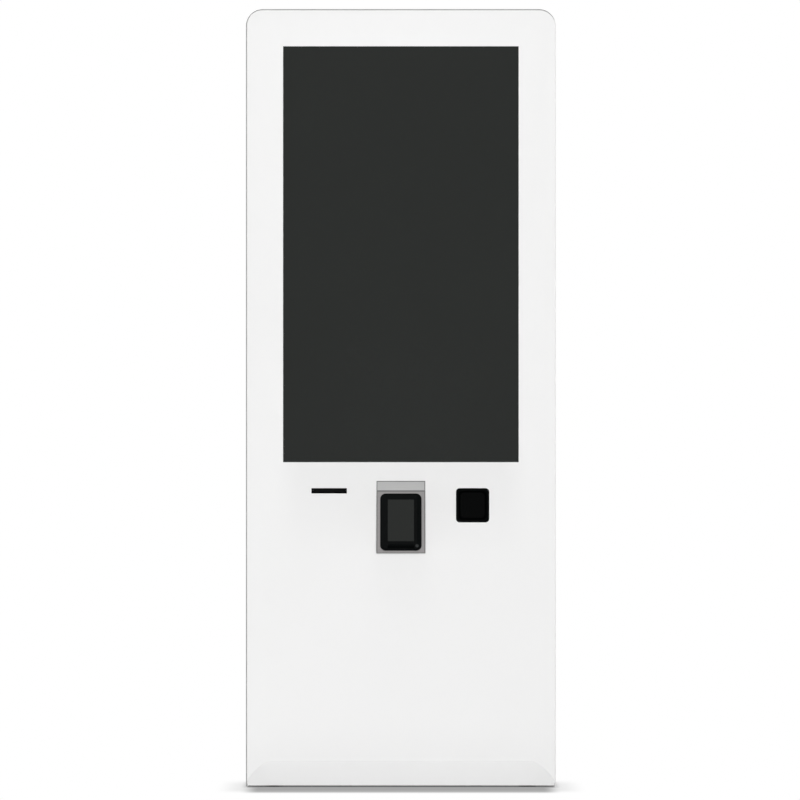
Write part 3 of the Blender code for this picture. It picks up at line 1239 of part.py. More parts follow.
def rod_outline(side, low, high, tip):
    """Flat rod with rack teeth towards the pinion between low and high, and its far end at tip."""
    slope = math.tan(math.radians(GEAR_PRESSURE))
    half = RACK_PITCH / 4 - GEAR_BACKLASH / 4
    root = LOCK_X + side * ROD_ROOT
    crest = LOCK_X + side * (PITCH_RADIUS - GEAR_MODULE)
    back = LOCK_X + side * ROD_OUTER
    start = LOCK_HEIGHT + low - RACK_PITCH
    finish = LOCK_HEIGHT + high + RACK_PITCH
    edge = [(root, min(start, tip))]
    for index in range(math.floor(low / RACK_PITCH), math.ceil(high / RACK_PITCH)):
        middle = LOCK_HEIGHT + (index + 0.5) * RACK_PITCH
        foot = half + ROOT_DEPTH * slope
        top = half - GEAR_MODULE * slope
        edge += [(root, middle - foot), (crest, middle - top), (crest, middle + top), (root, middle + foot)]
    edge.append((root, max(finish, tip)))
    return edge + [(back, max(finish, tip)), (back, min(start, tip))]


def make_lock():
    """Key lock whose pinion drives one rod up and one rod down behind the rear frame."""
    pinion = prism("lock_pinion", "y", pinion_outline(), ROD_FRONT, ROD_BACK, "bright_steel")
    shaft = turned("shaft_tool", "y", LOCK_X, LOCK_HEIGHT, [
        (LOCK_SHAFT, ROD_BACK - SHEET), (LOCK_SHAFT, DOOR_FACE + SEAT_GAP), (LOCK_HEAD, DOOR_FACE + SEAT_GAP),
        (LOCK_HEAD, HEAD_FACE - SHEET / 2), (LOCK_HEAD - SHEET / 2, HEAD_FACE)])
    key = box("key_tool", LOCK_X - SHEET / 2, LOCK_X + SHEET / 2, HEAD_FACE - KEY_SLOT_DEPTH,
              HEAD_FACE + SHEET, LOCK_HEIGHT - LOCK_SHAFT / 2, LOCK_HEIGHT + LOCK_SHAFT / 2)
    turns_at(cut(join(pinion, shaft), key), LOCK_X, HEAD_FACE, LOCK_HEIGHT)

    down = OPENING_LOW + ROD_RETRACT
    up = OPENING_TOP - ROD_RETRACT
    upper = rod_outline(1, -ROD_TRAVEL - RACK_MARGIN, RACK_MARGIN, up)
    lower = rod_outline(-1, -RACK_MARGIN, ROD_TRAVEL + RACK_MARGIN, down)
    for name, side, outline in (("latch_rod_upper", 1, upper), ("latch_rod_lower", -1, lower)):
        rod = prism(name, "y", outline, ROD_FRONT, ROD_BACK, "zinc_steel")
        turns_at(rod, LOCK_X + side * (ROD_OUTER - ROD_WIDTH / 2), (ROD_FRONT + ROD_BACK) / 2, LOCK_HEIGHT)

    wall = ROD_OUTER + RUN_GAP
    shell = wall + LOCK_WALL
    floor = ROD_BACK + RUN_GAP
    back = DOOR_INSIDE - SEAT_GAP
    section = [(-shell, back), (-shell, ROD_FRONT), (-wall, ROD_FRONT), (-wall, floor), (wall, floor),
               (wall, ROD_FRONT), (shell, ROD_FRONT), (shell, back)]
    outline = [(LOCK_X + x, y) for x, y in section]
    reach = LOCK_CASE_HEIGHT / 2
    case = prism("lock_case", "z", outline, LOCK_HEIGHT - reach, LOCK_HEIGHT + reach, "zinc_steel")
    barrel = rods("barrel_tool", "y", ((LOCK_X, LOCK_HEIGHT),), LOCK_SHAFT + RUN_GAP, floor - SHEET,
                  back + SHEET)
    hung(cut(case, barrel))

    for name, side, middle in (("rod_guide_upper", 1, OPENING_TOP - GUIDE_INSET),
                               ("rod_guide_lower", -1, OPENING_LOW + GUIDE_INSET)):
        near = LOCK_X + side * (ROD_ROOT - RUN_GAP)
        far = LOCK_X + side * (ROD_OUTER + RUN_GAP)
        left = min(near, far)
        right = max(near, far)
        front = ROD_FRONT - RUN_GAP
        path = [(left, back), (left, front), (right, front), (right, back)]
        hung(prism(name, "z", folded(path, -SHEET), middle - GUIDE_HEIGHT / 2, middle + GUIDE_HEIGHT / 2,
                   "zinc_steel"))


# Cables

def cable(name, points, radius):
    """Round cable along a smooth run through the points, with straight ends."""
    line = [Vector(point) for point in points]
    run = [line[0]]
    for index in range(1, len(line) - 2):
        before, a, b, after = line[index - 1:index + 3]
        for step in range(4):
            t = step / 4
            run.append(0.5 * (2 * a + (b - before) * t + (2 * before - 5 * a + 4 * b - after) * t ** 2
                              + (3 * a - before - 3 * b + after) * t ** 3))
    run += line[-2:]
    curve = bpy.data.curves.new(name, "CURVE")
    curve.dimensions = "3D"
    curve.bevel_depth = radius
    curve.bevel_resolution = 1
    curve.use_fill_caps = True
    spline = curve.splines.new("POLY")
    spline.points.add(len(run) - 1)
    for point, place in zip(spline.points, run):
        point.co = (*place, 1.0)
    placed(name, curve, "black_rubber")


def lead_down(place):
    """Points of a lead from over the equipment panel's top edge down into the computer."""
    x = COMPUTER_LEFT + (place + 0.5) * LEAD_PITCH
    behind = PLATE_FRONT + EQUIPMENT_FLANGE + LEAD_CLEARANCE
    socket = EQUIPMENT_FACE + COMPUTER_BASE / 2
    end = COMPUTER_TOP + SEAT_GAP
    drop = EQUIPMENT_TOP - end
    return [(x, behind, EQUIPMENT_TOP + LEAD_BEND), (x, behind, end + drop * 0.7),
            (x, socket, end + drop * 0.3), (x, socket, end)]


def make_cables():
    """Leads from the printer, the terminal, the scanner and the display to the computer."""
    side = SLOT_X + PRINTER_HALF + SEAT_GAP
    y = PLATEN_Y + LEAD_SET_BACK
    level = PRINTER_LOW + PRINTER_DROP / 2
    cable("printer_cable", [(side, y, level), (side + LEAD_STRAIGHT, y, level),
                            (side + LEAD_STRAIGHT + LEAD_BEND, y + LEAD_STRAIGHT, level - LEAD_STRAIGHT)]
          + lead_down(0), PRINTER_LEAD)
    out = Vector((0.0, math.cos(TILT), -math.sin(TILT)))
    start = Vector((0.0, TERMINAL_Y, TERMINAL_Z)) + out * (TERMINAL_DEPTH + SEAT_GAP)
    cable("terminal_cable", [start, start + out * LEAD_STRAIGHT] + lead_down(1), SIGNAL_LEAD)
    start = SCANNER_THROAT + SCANNER_GLASS + SCANNER_BODY_DEPTH + 3 * SEAT_GAP
    cable("scanner_cable", [(SCANNER_X, start, SCANNER_Z), (SCANNER_X, start + LEAD_STRAIGHT, SCANNER_Z)]
          + lead_down(3), SIGNAL_LEAD)
    x = COMPUTER_LEFT + 2.5 * LEAD_PITCH
    start = DISPLAY_BACK + SEAT_GAP
    high = SCREEN_LOW + DISPLAY_COVER_INSET + LEAD_BEND
    cable("display_cable", [(x, start, high), (x, start + LEAD_STRAIGHT, high),
                            (x, start + LEAD_BEND, high - LEAD_BEND)] + lead_down(2), DISPLAY_LEAD)


def shade():
    """Smooth shading with sharp edges kept on every mesh."""
    for obj in bpy.data.objects:
        if obj.type == "MESH":
            obj.data.polygons.foreach_set("use_smooth", [True] * len(obj.data.polygons))
            obj.data.set_sharp_from_angle(angle=math.radians(35))


make_front_panel()
make_body_wrap()
make_rear_frame()
make_base_plate()
make_kick_plate()
make_frame()
make_display()
make_slot_bezel()
make_printer()
make_paper()
make_terminal_cradle()
make_payment_terminal()
make_scanner()
make_equipment()
make_breaker()
make_feet()
make_rear_door()
make_hinge()
make_fans()
make_lock()
make_cables()
shade()
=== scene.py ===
"""Ticket vending machine: looks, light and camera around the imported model."""
import json
import math

import bmesh
import bpy
import numpy as np
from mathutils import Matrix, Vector

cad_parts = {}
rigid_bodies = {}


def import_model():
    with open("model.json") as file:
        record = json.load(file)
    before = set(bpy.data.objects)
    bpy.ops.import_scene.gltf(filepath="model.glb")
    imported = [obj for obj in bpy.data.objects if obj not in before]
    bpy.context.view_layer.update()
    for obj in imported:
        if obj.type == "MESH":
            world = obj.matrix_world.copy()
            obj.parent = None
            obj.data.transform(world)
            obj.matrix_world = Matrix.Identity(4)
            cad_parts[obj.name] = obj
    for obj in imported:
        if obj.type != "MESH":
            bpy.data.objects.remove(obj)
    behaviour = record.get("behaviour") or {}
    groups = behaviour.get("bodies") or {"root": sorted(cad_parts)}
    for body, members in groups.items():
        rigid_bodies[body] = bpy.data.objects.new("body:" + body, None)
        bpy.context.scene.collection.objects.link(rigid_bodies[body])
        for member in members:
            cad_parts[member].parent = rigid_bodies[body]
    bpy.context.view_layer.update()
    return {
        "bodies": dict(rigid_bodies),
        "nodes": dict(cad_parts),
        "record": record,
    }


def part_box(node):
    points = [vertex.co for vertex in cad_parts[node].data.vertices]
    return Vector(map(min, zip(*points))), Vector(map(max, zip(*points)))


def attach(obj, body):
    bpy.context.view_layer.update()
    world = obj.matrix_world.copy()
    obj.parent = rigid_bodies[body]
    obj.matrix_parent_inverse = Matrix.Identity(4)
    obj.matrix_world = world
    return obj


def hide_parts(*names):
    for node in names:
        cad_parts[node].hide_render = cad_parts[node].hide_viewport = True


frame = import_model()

# Turns are kept as quaternions, which stay exact where the open door and turned lock are at right angles
for body in frame["bodies"].values():
    body.rotation_mode = "QUATERNION"


# Sizes shared with the cabinet, in metres; a depth is counted back from the front sheet

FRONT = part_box("front_panel")[0].y
SHEET = 0.002


def back(depth):
    """Place along Y of a depth behind the front sheet."""
    return FRONT + depth


def low_corner(cad_node):
    """Least x, depth and z of a CAD node."""
    return np.array(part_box(cad_node)[0]) - (0.0, FRONT, 0.0)


def high_corner(cad_node):
    """Greatest x, depth and z of a CAD node."""
    return np.array(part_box(cad_node)[1]) - (0.0, FRONT, 0.0)


def centre_of(cad_node):
    """Middle x, depth and z of a CAD node."""
    return (low_corner(cad_node) + high_corner(cad_node)) / 2


TILT = math.radians(23.5)
TERMINAL_DEPTH, TERMINAL_Z, TERMINAL_PROUD = -0.053346, 0.60705, 0.006
TERMINAL = np.array((0.0, back(TERMINAL_DEPTH), TERMINAL_Z))
HOOD_HALF, _, HOOD_TOP = high_corner("terminal_cradle")
HOOD_LOW = low_corner("terminal_cradle")[2]
FOLD_HEIGHT = 0.0225
HOOD_FOLD = HOOD_TOP - FOLD_HEIGHT
SLOT_X, _, SLOT_Z = centre_of("slot_bezel")
ROLL_X, ROLL_DEPTH, ROLL_Z = centre_of("paper_roll")


# Camera: far off with a long lens, since the front shows hardly any perspective

CAMERA_X, CAMERA_DEPTH, CAMERA_Z = -0.0020, -14.0, 0.8842

view = bpy.data.cameras.new("front_view")
view.lens = 276.4
view.sensor_width = 36.0
view.clip_end = 200.0
camera = bpy.data.objects.new("front_view", view)
camera.location = (CAMERA_X, back(CAMERA_DEPTH), CAMERA_Z)
camera.rotation_euler = (math.pi / 2, 0.0, 0.0)
bpy.context.collection.objects.link(camera)
bpy.context.scene.camera = camera
bpy.context.scene.view_settings.view_transform = "Standard"


# Shader nodes

def node(tree, kind, settings=None, **inputs):
    """Adds a shader node; an input that is a socket is linked, any other value is set. An input is named
    with underscores for spaces, or by its number as i0, i1 and so on."""
    made = tree.nodes.new("ShaderNode" + kind)
    for key, value in (settings or {}).items():
        setattr(made, key, value)
    for key, value in inputs.items():
        socket = made.inputs[int(key[1:]) if key[1:].isdigit() else key.replace("_", " ")]
        if isinstance(value, bpy.types.NodeSocket):
            tree.links.new(value, socket)
        else:
            socket.default_value = value
    return made


def finish(name, **values):
    """Principled material with its plain values set, its node tree and its shader."""
    made = bpy.data.materials.new(name)
    made.use_nodes = True
    shader = made.node_tree.nodes["Principled BSDF"]
    for key, value in values.items():
        shader.inputs[key.replace("_", " ")].default_value = value
    return made, made.node_tree, shader


def place(tree, stretch=(1.0, 1.0, 1.0), turn=(0.0, 0.0, 0.0), centre=(0.0, 0.0, 0.0)):
    """Object coordinates, moved so that centre is zero, then turned and stretched."""
    where = node(tree, "TexCoord").outputs["Object"]
    moved = node(tree, "Mapping", {"vector_type": "POINT"}, Vector=where,
                 Location=tuple(-c for c in centre)).outputs[0]
    return node(tree, "Mapping", {"vector_type": "POINT"}, Vector=moved, Rotation=turn,
                Scale=stretch).outputs[0]


def axes(tree, vector):
    """The three numbers of a vector: across, deep and high."""
    return node(tree, "SeparateXYZ", Vector=vector).outputs


def facing(tree):
    """The three numbers of the true normal, which tell the way a face looks."""
    return axes(tree, node(tree, "NewGeometry").outputs["True Normal"])


def noise(tree, where, scale, detail=2.0, rough=0.5):
    """Cloudy pattern from 0 to 1, with about scale patches per metre."""
    return node(tree, "TexNoise", Vector=where, Scale=scale, Detail=detail, Roughness=rough).outputs[0]


def spread(tree, value, low, high, start=0.3, end=0.7):
    """Pattern stretched from start and end to low and high, held at both ends."""
    return node(tree, "MapRange", {"clamp": True}, Value=value, From_Min=start, From_Max=end,
                To_Min=low, To_Max=high).outputs[0]


def fade(tree, value, start, end):
    """Soft S-curve from 1 at start to 0 at end; start may be the higher one."""
    flip = start > end
    return node(tree, "MapRange", {"interpolation_type": "SMOOTHSTEP"}, Value=value,
                From_Min=min(start, end), From_Max=max(start, end),
                To_Min=0.0 if flip else 1.0, To_Max=1.0 if flip else 0.0).outputs[0]


def reckon(tree, operation, *values):
    """Arithmetic on patterns and numbers, taken in turn."""
    total = values[0]
    for value in values[1:]:
        total = node(tree, "Math", {"operation": operation}, i0=total, i1=value).outputs[0]
    return total


def times(tree, *values):
    """Product of patterns and numbers."""
    return reckon(tree, "MULTIPLY", *values)


def plus(tree, *values):
    """Sum of patterns and numbers."""
    return reckon(tree, "ADD", *values)


def most(tree, *values):
    """The greatest of several patterns."""
    return reckon(tree, "MAXIMUM", *values)


def unsigned(tree, value):
    """A number without its sign."""
    return node(tree, "Math", {"operation": "ABSOLUTE"}, i0=value).outputs[0]


def tones(tree, value, *stops):
    """Colour along a pattern: each stop is a place and a colour."""
    made = node(tree, "ValToRGB", Fac=value)
    ramp = made.color_ramp
    while len(ramp.elements) < len(stops):
        ramp.elements.new(0.5)
    for element, (at, colour) in zip(ramp.elements, stops):
        element.position = at
        element.color = (*colour, 1.0)
    return made.outputs[0]


def tinted(colour, factor):
    """Colour made lighter or darker by a factor."""
    return tuple(min(1.0, c * factor) for c in colour)


def mixed(tree, amount, first, second):
    """Two colours mixed by an amount; the node's inputs 6 and 7 and its output 2 are the colours."""
    made = node(tree, "Mix", {"data_type": "RGBA"}, Factor=amount)
    for socket, value in ((made.inputs[6], first), (made.inputs[7], second)):
        if isinstance(value, bpy.types.NodeSocket):
            tree.links.new(value, socket)
        else:
            socket.default_value = (*value, 1.0)
    return made.outputs[2]


def edges(tree, radius):
    """1 on an edge rounded by that radius, 0 on a flat: where the bevelled normal leaves the true one."""
    soft = node(tree, "Bevel", {"samples": 4}, Radius=radius).outputs[0]
    hard = node(tree, "NewGeometry").outputs["True Normal"]
    lean = node(tree, "VectorMath", {"operation": "DOT_PRODUCT"}, i0=soft, i1=hard).outputs["Value"]
    return spread(tree, lean, 1.0, 0.0, start=0.8, end=0.99)


def dress(tree, shader, colour, rough, height, relief, depth):
    """Links a colour, a roughness and a relief of a strength and a depth in metres to the shader."""
    bump = node(tree, "Bump", Strength=relief, Distance=depth, Height=height)
    tree.links.new(colour, shader.inputs["Base Color"])
    tree.links.new(rough, shader.inputs["Roughness"])
    tree.links.new(bump.outputs[0], shader.inputs["Normal"])


# Finishes

SCUFF_HEIGHT = 0.16  # shoes and mops reach this far up the coat
RUBBED_EDGE = 0.0008  # radius over which an edge is rubbed


def powder_coat(name, colour, rough=0.42):
    """Sprayed coat: orange-peel relief, slow drift in tone, thin at edges and scuffed near the floor."""
    made, tree, shader = finish(name, IOR=1.5, Specular_IOR_Level=0.35)
    where = place(tree)
    drift = tones(tree, noise(tree, where, 2.3, detail=3.0),
                  (0.3, tinted(colour, 0.992)), (0.7, tinted(colour, 1.004)))
    streaks = noise(tree, place(tree, stretch=(6.0, 6.0, 1.0)), 55.0, detail=4.0)
    low_down = spread(tree, axes(tree, where)[2], 0.5, 0.0, start=0.0, end=SCUFF_HEIGHT)
    scuffs = spread(tree, times(tree, streaks, low_down), 0.0, 0.06, start=0.22, end=0.4)
    scuffed = mixed(tree, scuffs, drift, tinted(colour, 0.72))
    thin = times(tree, edges(tree, 1.5 * RUBBED_EDGE), 0.10)
    worn = mixed(tree, thin, scuffed, tinted(colour, 0.8))
    peel = plus(tree, noise(tree, where, 620.0, detail=1.0), noise(tree, where, 150.0, detail=1.0))
    gloss = spread(tree, noise(tree, where, 35.0, detail=3.0), rough - 0.04, rough + 0.05)
    dress(tree, shader, worn, gloss, peel, relief=0.10, depth=0.0002)
    return made


def plated_steel(name, colour, rough):
    """Zinc plate: crystal patches of slightly different tone and gloss under a slow cloud."""
    made, tree, shader = finish(name, Metallic=1.0)
    where = place(tree)
    cells = node(tree, "TexVoronoi", {"feature": "F1"}, Vector=where, Scale=85.0, Randomness=1.0)
    patch = node(tree, "SeparateColor", Color=cells.outputs["Color"]).outputs[0]
    cloud = noise(tree, where, 9.0, detail=4.0)
    tone = plus(tree, times(tree, patch, 0.5), times(tree, cloud, 0.5))
    colours = tones(tree, tone, (0.2, tinted(colour, 0.86)), (0.5, colour), (0.8, tinted(colour, 1.10)))
    worn = mixed(tree, times(tree, edges(tree, RUBBED_EDGE), 0.5), colours, tinted(colour, 1.25))
    gloss = spread(tree, tone, rough + 0.10, rough - 0.06, start=0.2, end=0.8)
    dress(tree, shader, worn, gloss, noise(tree, where, 400.0), relief=0.06, depth=0.0002)
    return made


def brushed_metal(name, colour, rough, along, contrast=0.10):
    """Brushed metal: fine lines drawn out along one axis, in tone, gloss and relief."""
    made, tree, shader = finish(name, Metallic=1.0)
    line = noise(tree, place(tree, stretch=along), 420.0, detail=3.0, rough=0.6)
    cloud = noise(tree, place(tree), 14.0, detail=3.0)
    tone = plus(tree, times(tree, line, 0.75), times(tree, cloud, 0.25))
    colours = tones(tree, tone,
                    (0.3, tinted(colour, 1.0 - contrast)), (0.7, tinted(colour, 1.0 + contrast)))
    worn = mixed(tree, times(tree, edges(tree, RUBBED_EDGE), 0.4), colours, tinted(colour, 1.3))
    gloss = spread(tree, tone, rough - 0.07, rough + 0.09)
    dress(tree, shader, worn, gloss, line, relief=0.12, depth=0.0001)
    return made


def moulded(name, colour, rough, gloss, grain=900.0, relief=0.12, dust=0.06):
    """Moulded plastic: spark-eroded grain, cloudy tone and dusty, rubbed edges."""
    made, tree, shader = finish(name, IOR=1.5, Specular_IOR_Level=gloss)
    where = place(tree)
    cloud = noise(tree, where, 22.0, detail=4.0)
    base = tones(tree, cloud, (0.3, tinted(colour, 0.93)), (0.7, tinted(colour, 1.07)))
    rubbed = mixed(tree, times(tree, edges(tree, RUBBED_EDGE), dust), base, tuple(c + 0.06 for c in colour))
    fine = plus(tree, noise(tree, where, grain, detail=1.0), noise(tree, where, grain / 3.1, detail=1.0))
    dress(tree, shader, rubbed, spread(tree, cloud, rough - 0.06, rough + 0.08), fine, relief, depth=0.0002)
    return made


def rubber(name, colour, rough):
    """Rubber: matt, with a pale bloom in patches and fine pits."""
    made, tree, shader = finish(name, IOR=1.5, Specular_IOR_Level=0.2)
    where = place(tree)
    bloom = noise(tree, where, 30.0, detail=5.0, rough=0.65)
    base = tones(tree, bloom, (0.35, colour), (0.75, tuple(c * 1.5 + 0.004 for c in colour)))
    gloss = spread(tree, bloom, rough - 0.08, rough + 0.08)
    dress(tree, shader, base, gloss, noise(tree, where, 1100.0), relief=0.15, depth=0.0002)
    return made


def dark_glass(name, colour, gloss, smear=0.05):
    """Dark glass over a display that is off: clear gloss with faint finger smears."""
    made, tree, shader = finish(name, IOR=1.5, Specular_IOR_Level=gloss)
    where = place(tree)
    slanted = place(tree, stretch=(1.0, 1.0, 0.35), turn=(0.0, 0.4, 0.0))
    wipe = noise(tree, slanted, 26.0, detail=5.0, rough=0.6)
    base = tones(tree, noise(tree, where, 5.0), (0.3, tinted(colour, 0.97)), (0.7, tinted(colour, 1.03)))
    smears = spread(tree, wipe, 0.04, 0.04 + smear, start=0.5, end=0.75)
    dress(tree, shader, base, smears, noise(tree, where, 3.0, detail=1.0), relief=0.02, depth=0.0005)
    return made


def paper(name, colour, centre):
    """Wound paper: fibres on the face, and the edges of the turns as fine rings on the ends."""
    made, tree, shader = finish(name, IOR=1.5, Specular_IOR_Level=0.25)
    fibre = noise(tree, place(tree), 850.0, detail=4.0, rough=0.7)
    rings = node(tree, "TexWave", {"wave_type": "RINGS", "rings_direction": "X"},
                 Vector=place(tree, centre=centre), Scale=420.0, Distortion=0.6, Detail=2.0).outputs[1]
    end = spread(tree, unsigned(tree, facing(tree)[0]), 0.0, 1.0, start=0.5, end=0.8)
    sheet = tones(tree, fibre, (0.3, tinted(colour, 0.97)), (0.7, colour))
    turns = tones(tree, rings, (0.2, tinted(colour, 0.80)), (0.8, tinted(colour, 0.98)))
    gloss = spread(tree, fibre, 0.72, 0.85)
    dress(tree, shader, mixed(tree, end, sheet, turns), gloss, fibre, relief=0.12, depth=0.0001)
    return made


WHITE = (0.885, 0.884, 0.882)
ALONG_X, ALONG_Z = (0.05, 1.0, 1.0), (1.0, 1.0, 0.05)
looks = {
    "white_powder_coat": powder_coat("white_powder_coat", WHITE),
    "grey_powder_coat": moulded("grey_coat", (0.16, 0.165, 0.17), 0.5, gloss=0.35, grain=500.0,
                                relief=0.15, dust=0.2),
    "zinc_steel": plated_steel("zinc_plate", (0.55, 0.555, 0.56), 0.38),
    "brushed_steel": brushed_metal("brushed_steel", (0.50, 0.50, 0.49), 0.36, ALONG_X),
    "bright_steel": brushed_metal("bright_steel", (0.64, 0.64, 0.63), 0.24, ALONG_Z, contrast=0.05),
    "black_plastic": moulded("black_plastic", (0.004, 0.004, 0.0042), 0.45, gloss=0.06, grain=1100.0,
                             relief=0.08, dust=0.03),
    "dark_plastic": moulded("dark_plastic", (0.028, 0.028, 0.030), 0.52, gloss=0.3),
    "light_plastic": moulded("light_plastic", (0.60, 0.60, 0.57), 0.48, gloss=0.4, grain=700.0,
                             relief=0.10, dust=0.1),
    "green_plastic": moulded("green_plastic", (0.04, 0.27, 0.10), 0.38, gloss=0.45, grain=700.0,
                             relief=0.06, dust=0.1),
    "screen_glass": dark_glass("screen_glass", (0.0117, 0.0136, 0.0121), 0.2),
    "black_rubber": rubber("black_rubber", (0.014, 0.014, 0.0145), 0.78),
    "bare_aluminium": brushed_metal("mill_aluminium", (0.62, 0.625, 0.63), 0.34, ALONG_X, contrast=0.06),
    "paper_white": paper("roll_paper", (0.86, 0.86, 0.83), (ROLL_X, back(ROLL_DEPTH), ROLL_Z)),
}

# Painted shade lines on the hood, in from its side and head, up from its foot and away from its fold
SIDE_LINE, HEAD_LINE = (0.0026, 0.0010), (0.0026, 0.0012)
FOOT_LINE, FOLD_LINE = (0.0006, 0.0018), (0.0007, 0.0019)
FOLD_BLEND = 0.0006


def hood_steel():
    """Brushed hood with painted light and shade: its top fold painted lighter and its sloping face darker,
    and painted shade lines along its edges and fold.
    """
    made, tree, shader = finish("hood_steel", Metallic=1.0)
    across, _, high = axes(tree, place(tree, centre=(0.0, 0.0, HOOD_FOLD)))
    line = noise(tree, place(tree, stretch=(0.04, 1.0, 1.0)), 420.0, detail=3.0, rough=0.6)
    # painted light and shade: the sloping face and the top fold are a shaded and a lit tone of one steel
    shaded_slope = tones(tree, line, (0.3, (0.296, 0.286, 0.284)), (0.7, (0.345, 0.333, 0.331)))
    top = tones(tree, line, (0.3, (0.50, 0.50, 0.498)), (0.7, (0.55, 0.55, 0.548)))
    face = mixed(tree, spread(tree, high, 0.0, 1.0, -FOLD_BLEND, FOLD_BLEND), shaded_slope, top)
    head, foot = HOOD_TOP - HOOD_FOLD, HOOD_LOW - HOOD_FOLD
    # painted shade: dark lines along the hood's sides, head, foot and fold
    not_cheek = spread(tree, unsigned(tree, facing(tree)[0]), 1.0, 0.0, start=0.5, end=0.8)
    on_side = times(tree, not_cheek, spread(tree, unsigned(tree, across), 0.0, 1.0,
                                            *(HOOD_HALF - inward for inward in SIDE_LINE)))
    on_fold = spread(tree, unsigned(tree, high), 1.0, 0.0, *FOLD_LINE)
    on_head = spread(tree, high, 0.0, 1.0, *(head - inward for inward in HEAD_LINE))
    on_foot = spread(tree, high, 1.0, 0.0, *(foot + inward for inward in FOOT_LINE))
    shaded_rim = times(tree, most(tree, on_side, on_fold, on_head, on_foot), spread(tree, line, 0.75, 1.0))
    lined = mixed(tree, shaded_rim, face, (0.135, 0.135, 0.134))
    dress(tree, shader, lined, spread(tree, line, 0.34, 0.46), line, relief=0.12, depth=0.0001)
    return made


# Front sheet: its painted shade line on the folds, by lean and depth, then the zones of painted shade below
# the screen and above the toe, from where each is full to its end
FOLD_LEAN, FOLD_DEPTH = (0.15, 0.5), (0.0022, 0.0036)
SHADE_ASIDE, SHADE_BELOW, SHADE_ABOVE = (0.225, 0.295), (0.76, 0.50), (0.745, 0.800)
LOW_SHADE_HEIGHT = (0.050, 0.165)


def front_coat():
    """White coat of the front sheet, with painted shade: a fine grey line on its left and top folds, a
    faint one on the right, a zone below the screen painted darker as shade, and painted shade above the
    toe."""
    made = powder_coat("front_coat", WHITE)
    tree = made.node_tree
    colour = tree.nodes["Principled BSDF"].inputs["Base Color"]
    lean = facing(tree)
    near, far = FOLD_LEAN
    left = spread(tree, lean[0], 1.0, 0.0, -far, -near)
    right = spread(tree, lean[0], 0.0, 0.15, near, far)
    top = spread(tree, lean[2], 0.0, 1.0, near, far)
    across, deep, high = axes(tree, place(tree))
    fold = spread(tree, deep, 1.0, 0.0, *(back(depth) for depth in FOLD_DEPTH))
    # painted shade: the left and top folds are drawn as a grey line and the right one faintly, as the light
    # falls on them
    line = times(tree, most(tree, left, top, right), fold)
    # painted shade: the front below the screen and devices is made darker, in patches, as if in their shade
    reach = times(tree, fade(tree, unsigned(tree, across), *SHADE_ASIDE), fade(tree, high, *SHADE_BELOW),
                  fade(tree, high, *SHADE_ABOVE))
    shade_below_screen = times(tree, reach, spread(tree, noise(tree, place(tree), 9.0, detail=4.0), 0.28, 0.32))
    # painted shade: the front is made darker towards the floor
    shade_near_floor = times(tree, fade(tree, high, *LOW_SHADE_HEIGHT), 0.15)
    painted_shade = mixed(tree, most(tree, shade_below_screen, shade_near_floor), colour.links[0].from_socket, tinted(WHITE, 0.80))
    tree.links.new(mixed(tree, line, painted_shade, (0.13, 0.13, 0.13)), colour)
    return made


# Where the terminal's satin front ends and its painted shade begins, behind its face and on its right side
FACE_END, RIGHT_SHADE_START = (-0.0059, -0.0056), (0.0365, 0.0372)


def terminal_black():
    """Terminal shell: a satin front, with its rims, scoop and right side painted darker as shade, all in a
    fine grain.
    """
    made, tree, shader = finish("terminal_black", IOR=1.5, Specular_IOR_Level=0.03)
    where = place(tree, turn=(TILT, 0.0, 0.0), centre=tuple(TERMINAL))
    across, deep, _ = axes(tree, where)
    front = times(tree, spread(tree, deep, 1.0, 0.0, *FACE_END),
                  spread(tree, across, 1.0, 0.0, *RIGHT_SHADE_START))
    cloud = noise(tree, where, 60.0, detail=4.0)
    satin = tones(tree, cloud, (0.3, (0.0036, 0.0041, 0.0041)), (0.7, (0.0045, 0.0051, 0.0051)))
    # painted shade: the rims, scoop and right side take a darker copy of the black
    shaded_rim = tones(tree, cloud, (0.3, (0.0018, 0.0024, 0.0024)), (0.7, (0.0026, 0.0032, 0.0032)))
    shell = mixed(tree, front, shaded_rim, satin)
    worn = mixed(tree, times(tree, edges(tree, 0.0005), 0.05), shell, (0.05, 0.05, 0.05))
    grain = plus(tree, noise(tree, where, 1300.0, detail=1.0), noise(tree, where, 420.0, detail=1.0))
    dress(tree, shader, worn, spread(tree, cloud, 0.40, 0.55), grain, relief=0.08, depth=0.0002)
    return made


device_black = moulded("device_black", (0.0011, 0.0014, 0.0014), 0.42, gloss=0.03, grain=1100.0,
                       relief=0.06, dust=0.02)
special = {
    "terminal_cradle": hood_steel(),
    "front_panel": front_coat(),
    # painted light: the kick plate's white is lighter than the rest of the coat, to offset the shade it is
    # in as it faces down
    "kick_plate": powder_coat("kick_coat", (0.942, 0.942, 0.940)),
    "payment_terminal": terminal_black(),
    "slot_bezel": device_black,
    "scanner_bezel": device_black,
    "scanner_window": dark_glass("scanner_glass", (0.0010, 0.0013, 0.0013), 0.03, smear=0.04),
}


# CAD nodes: every one takes the finish of its slot, or its own, and has its round faces shaded smooth

WELD, SMOOTH_FOLD = 0.00001, math.radians(32.0)


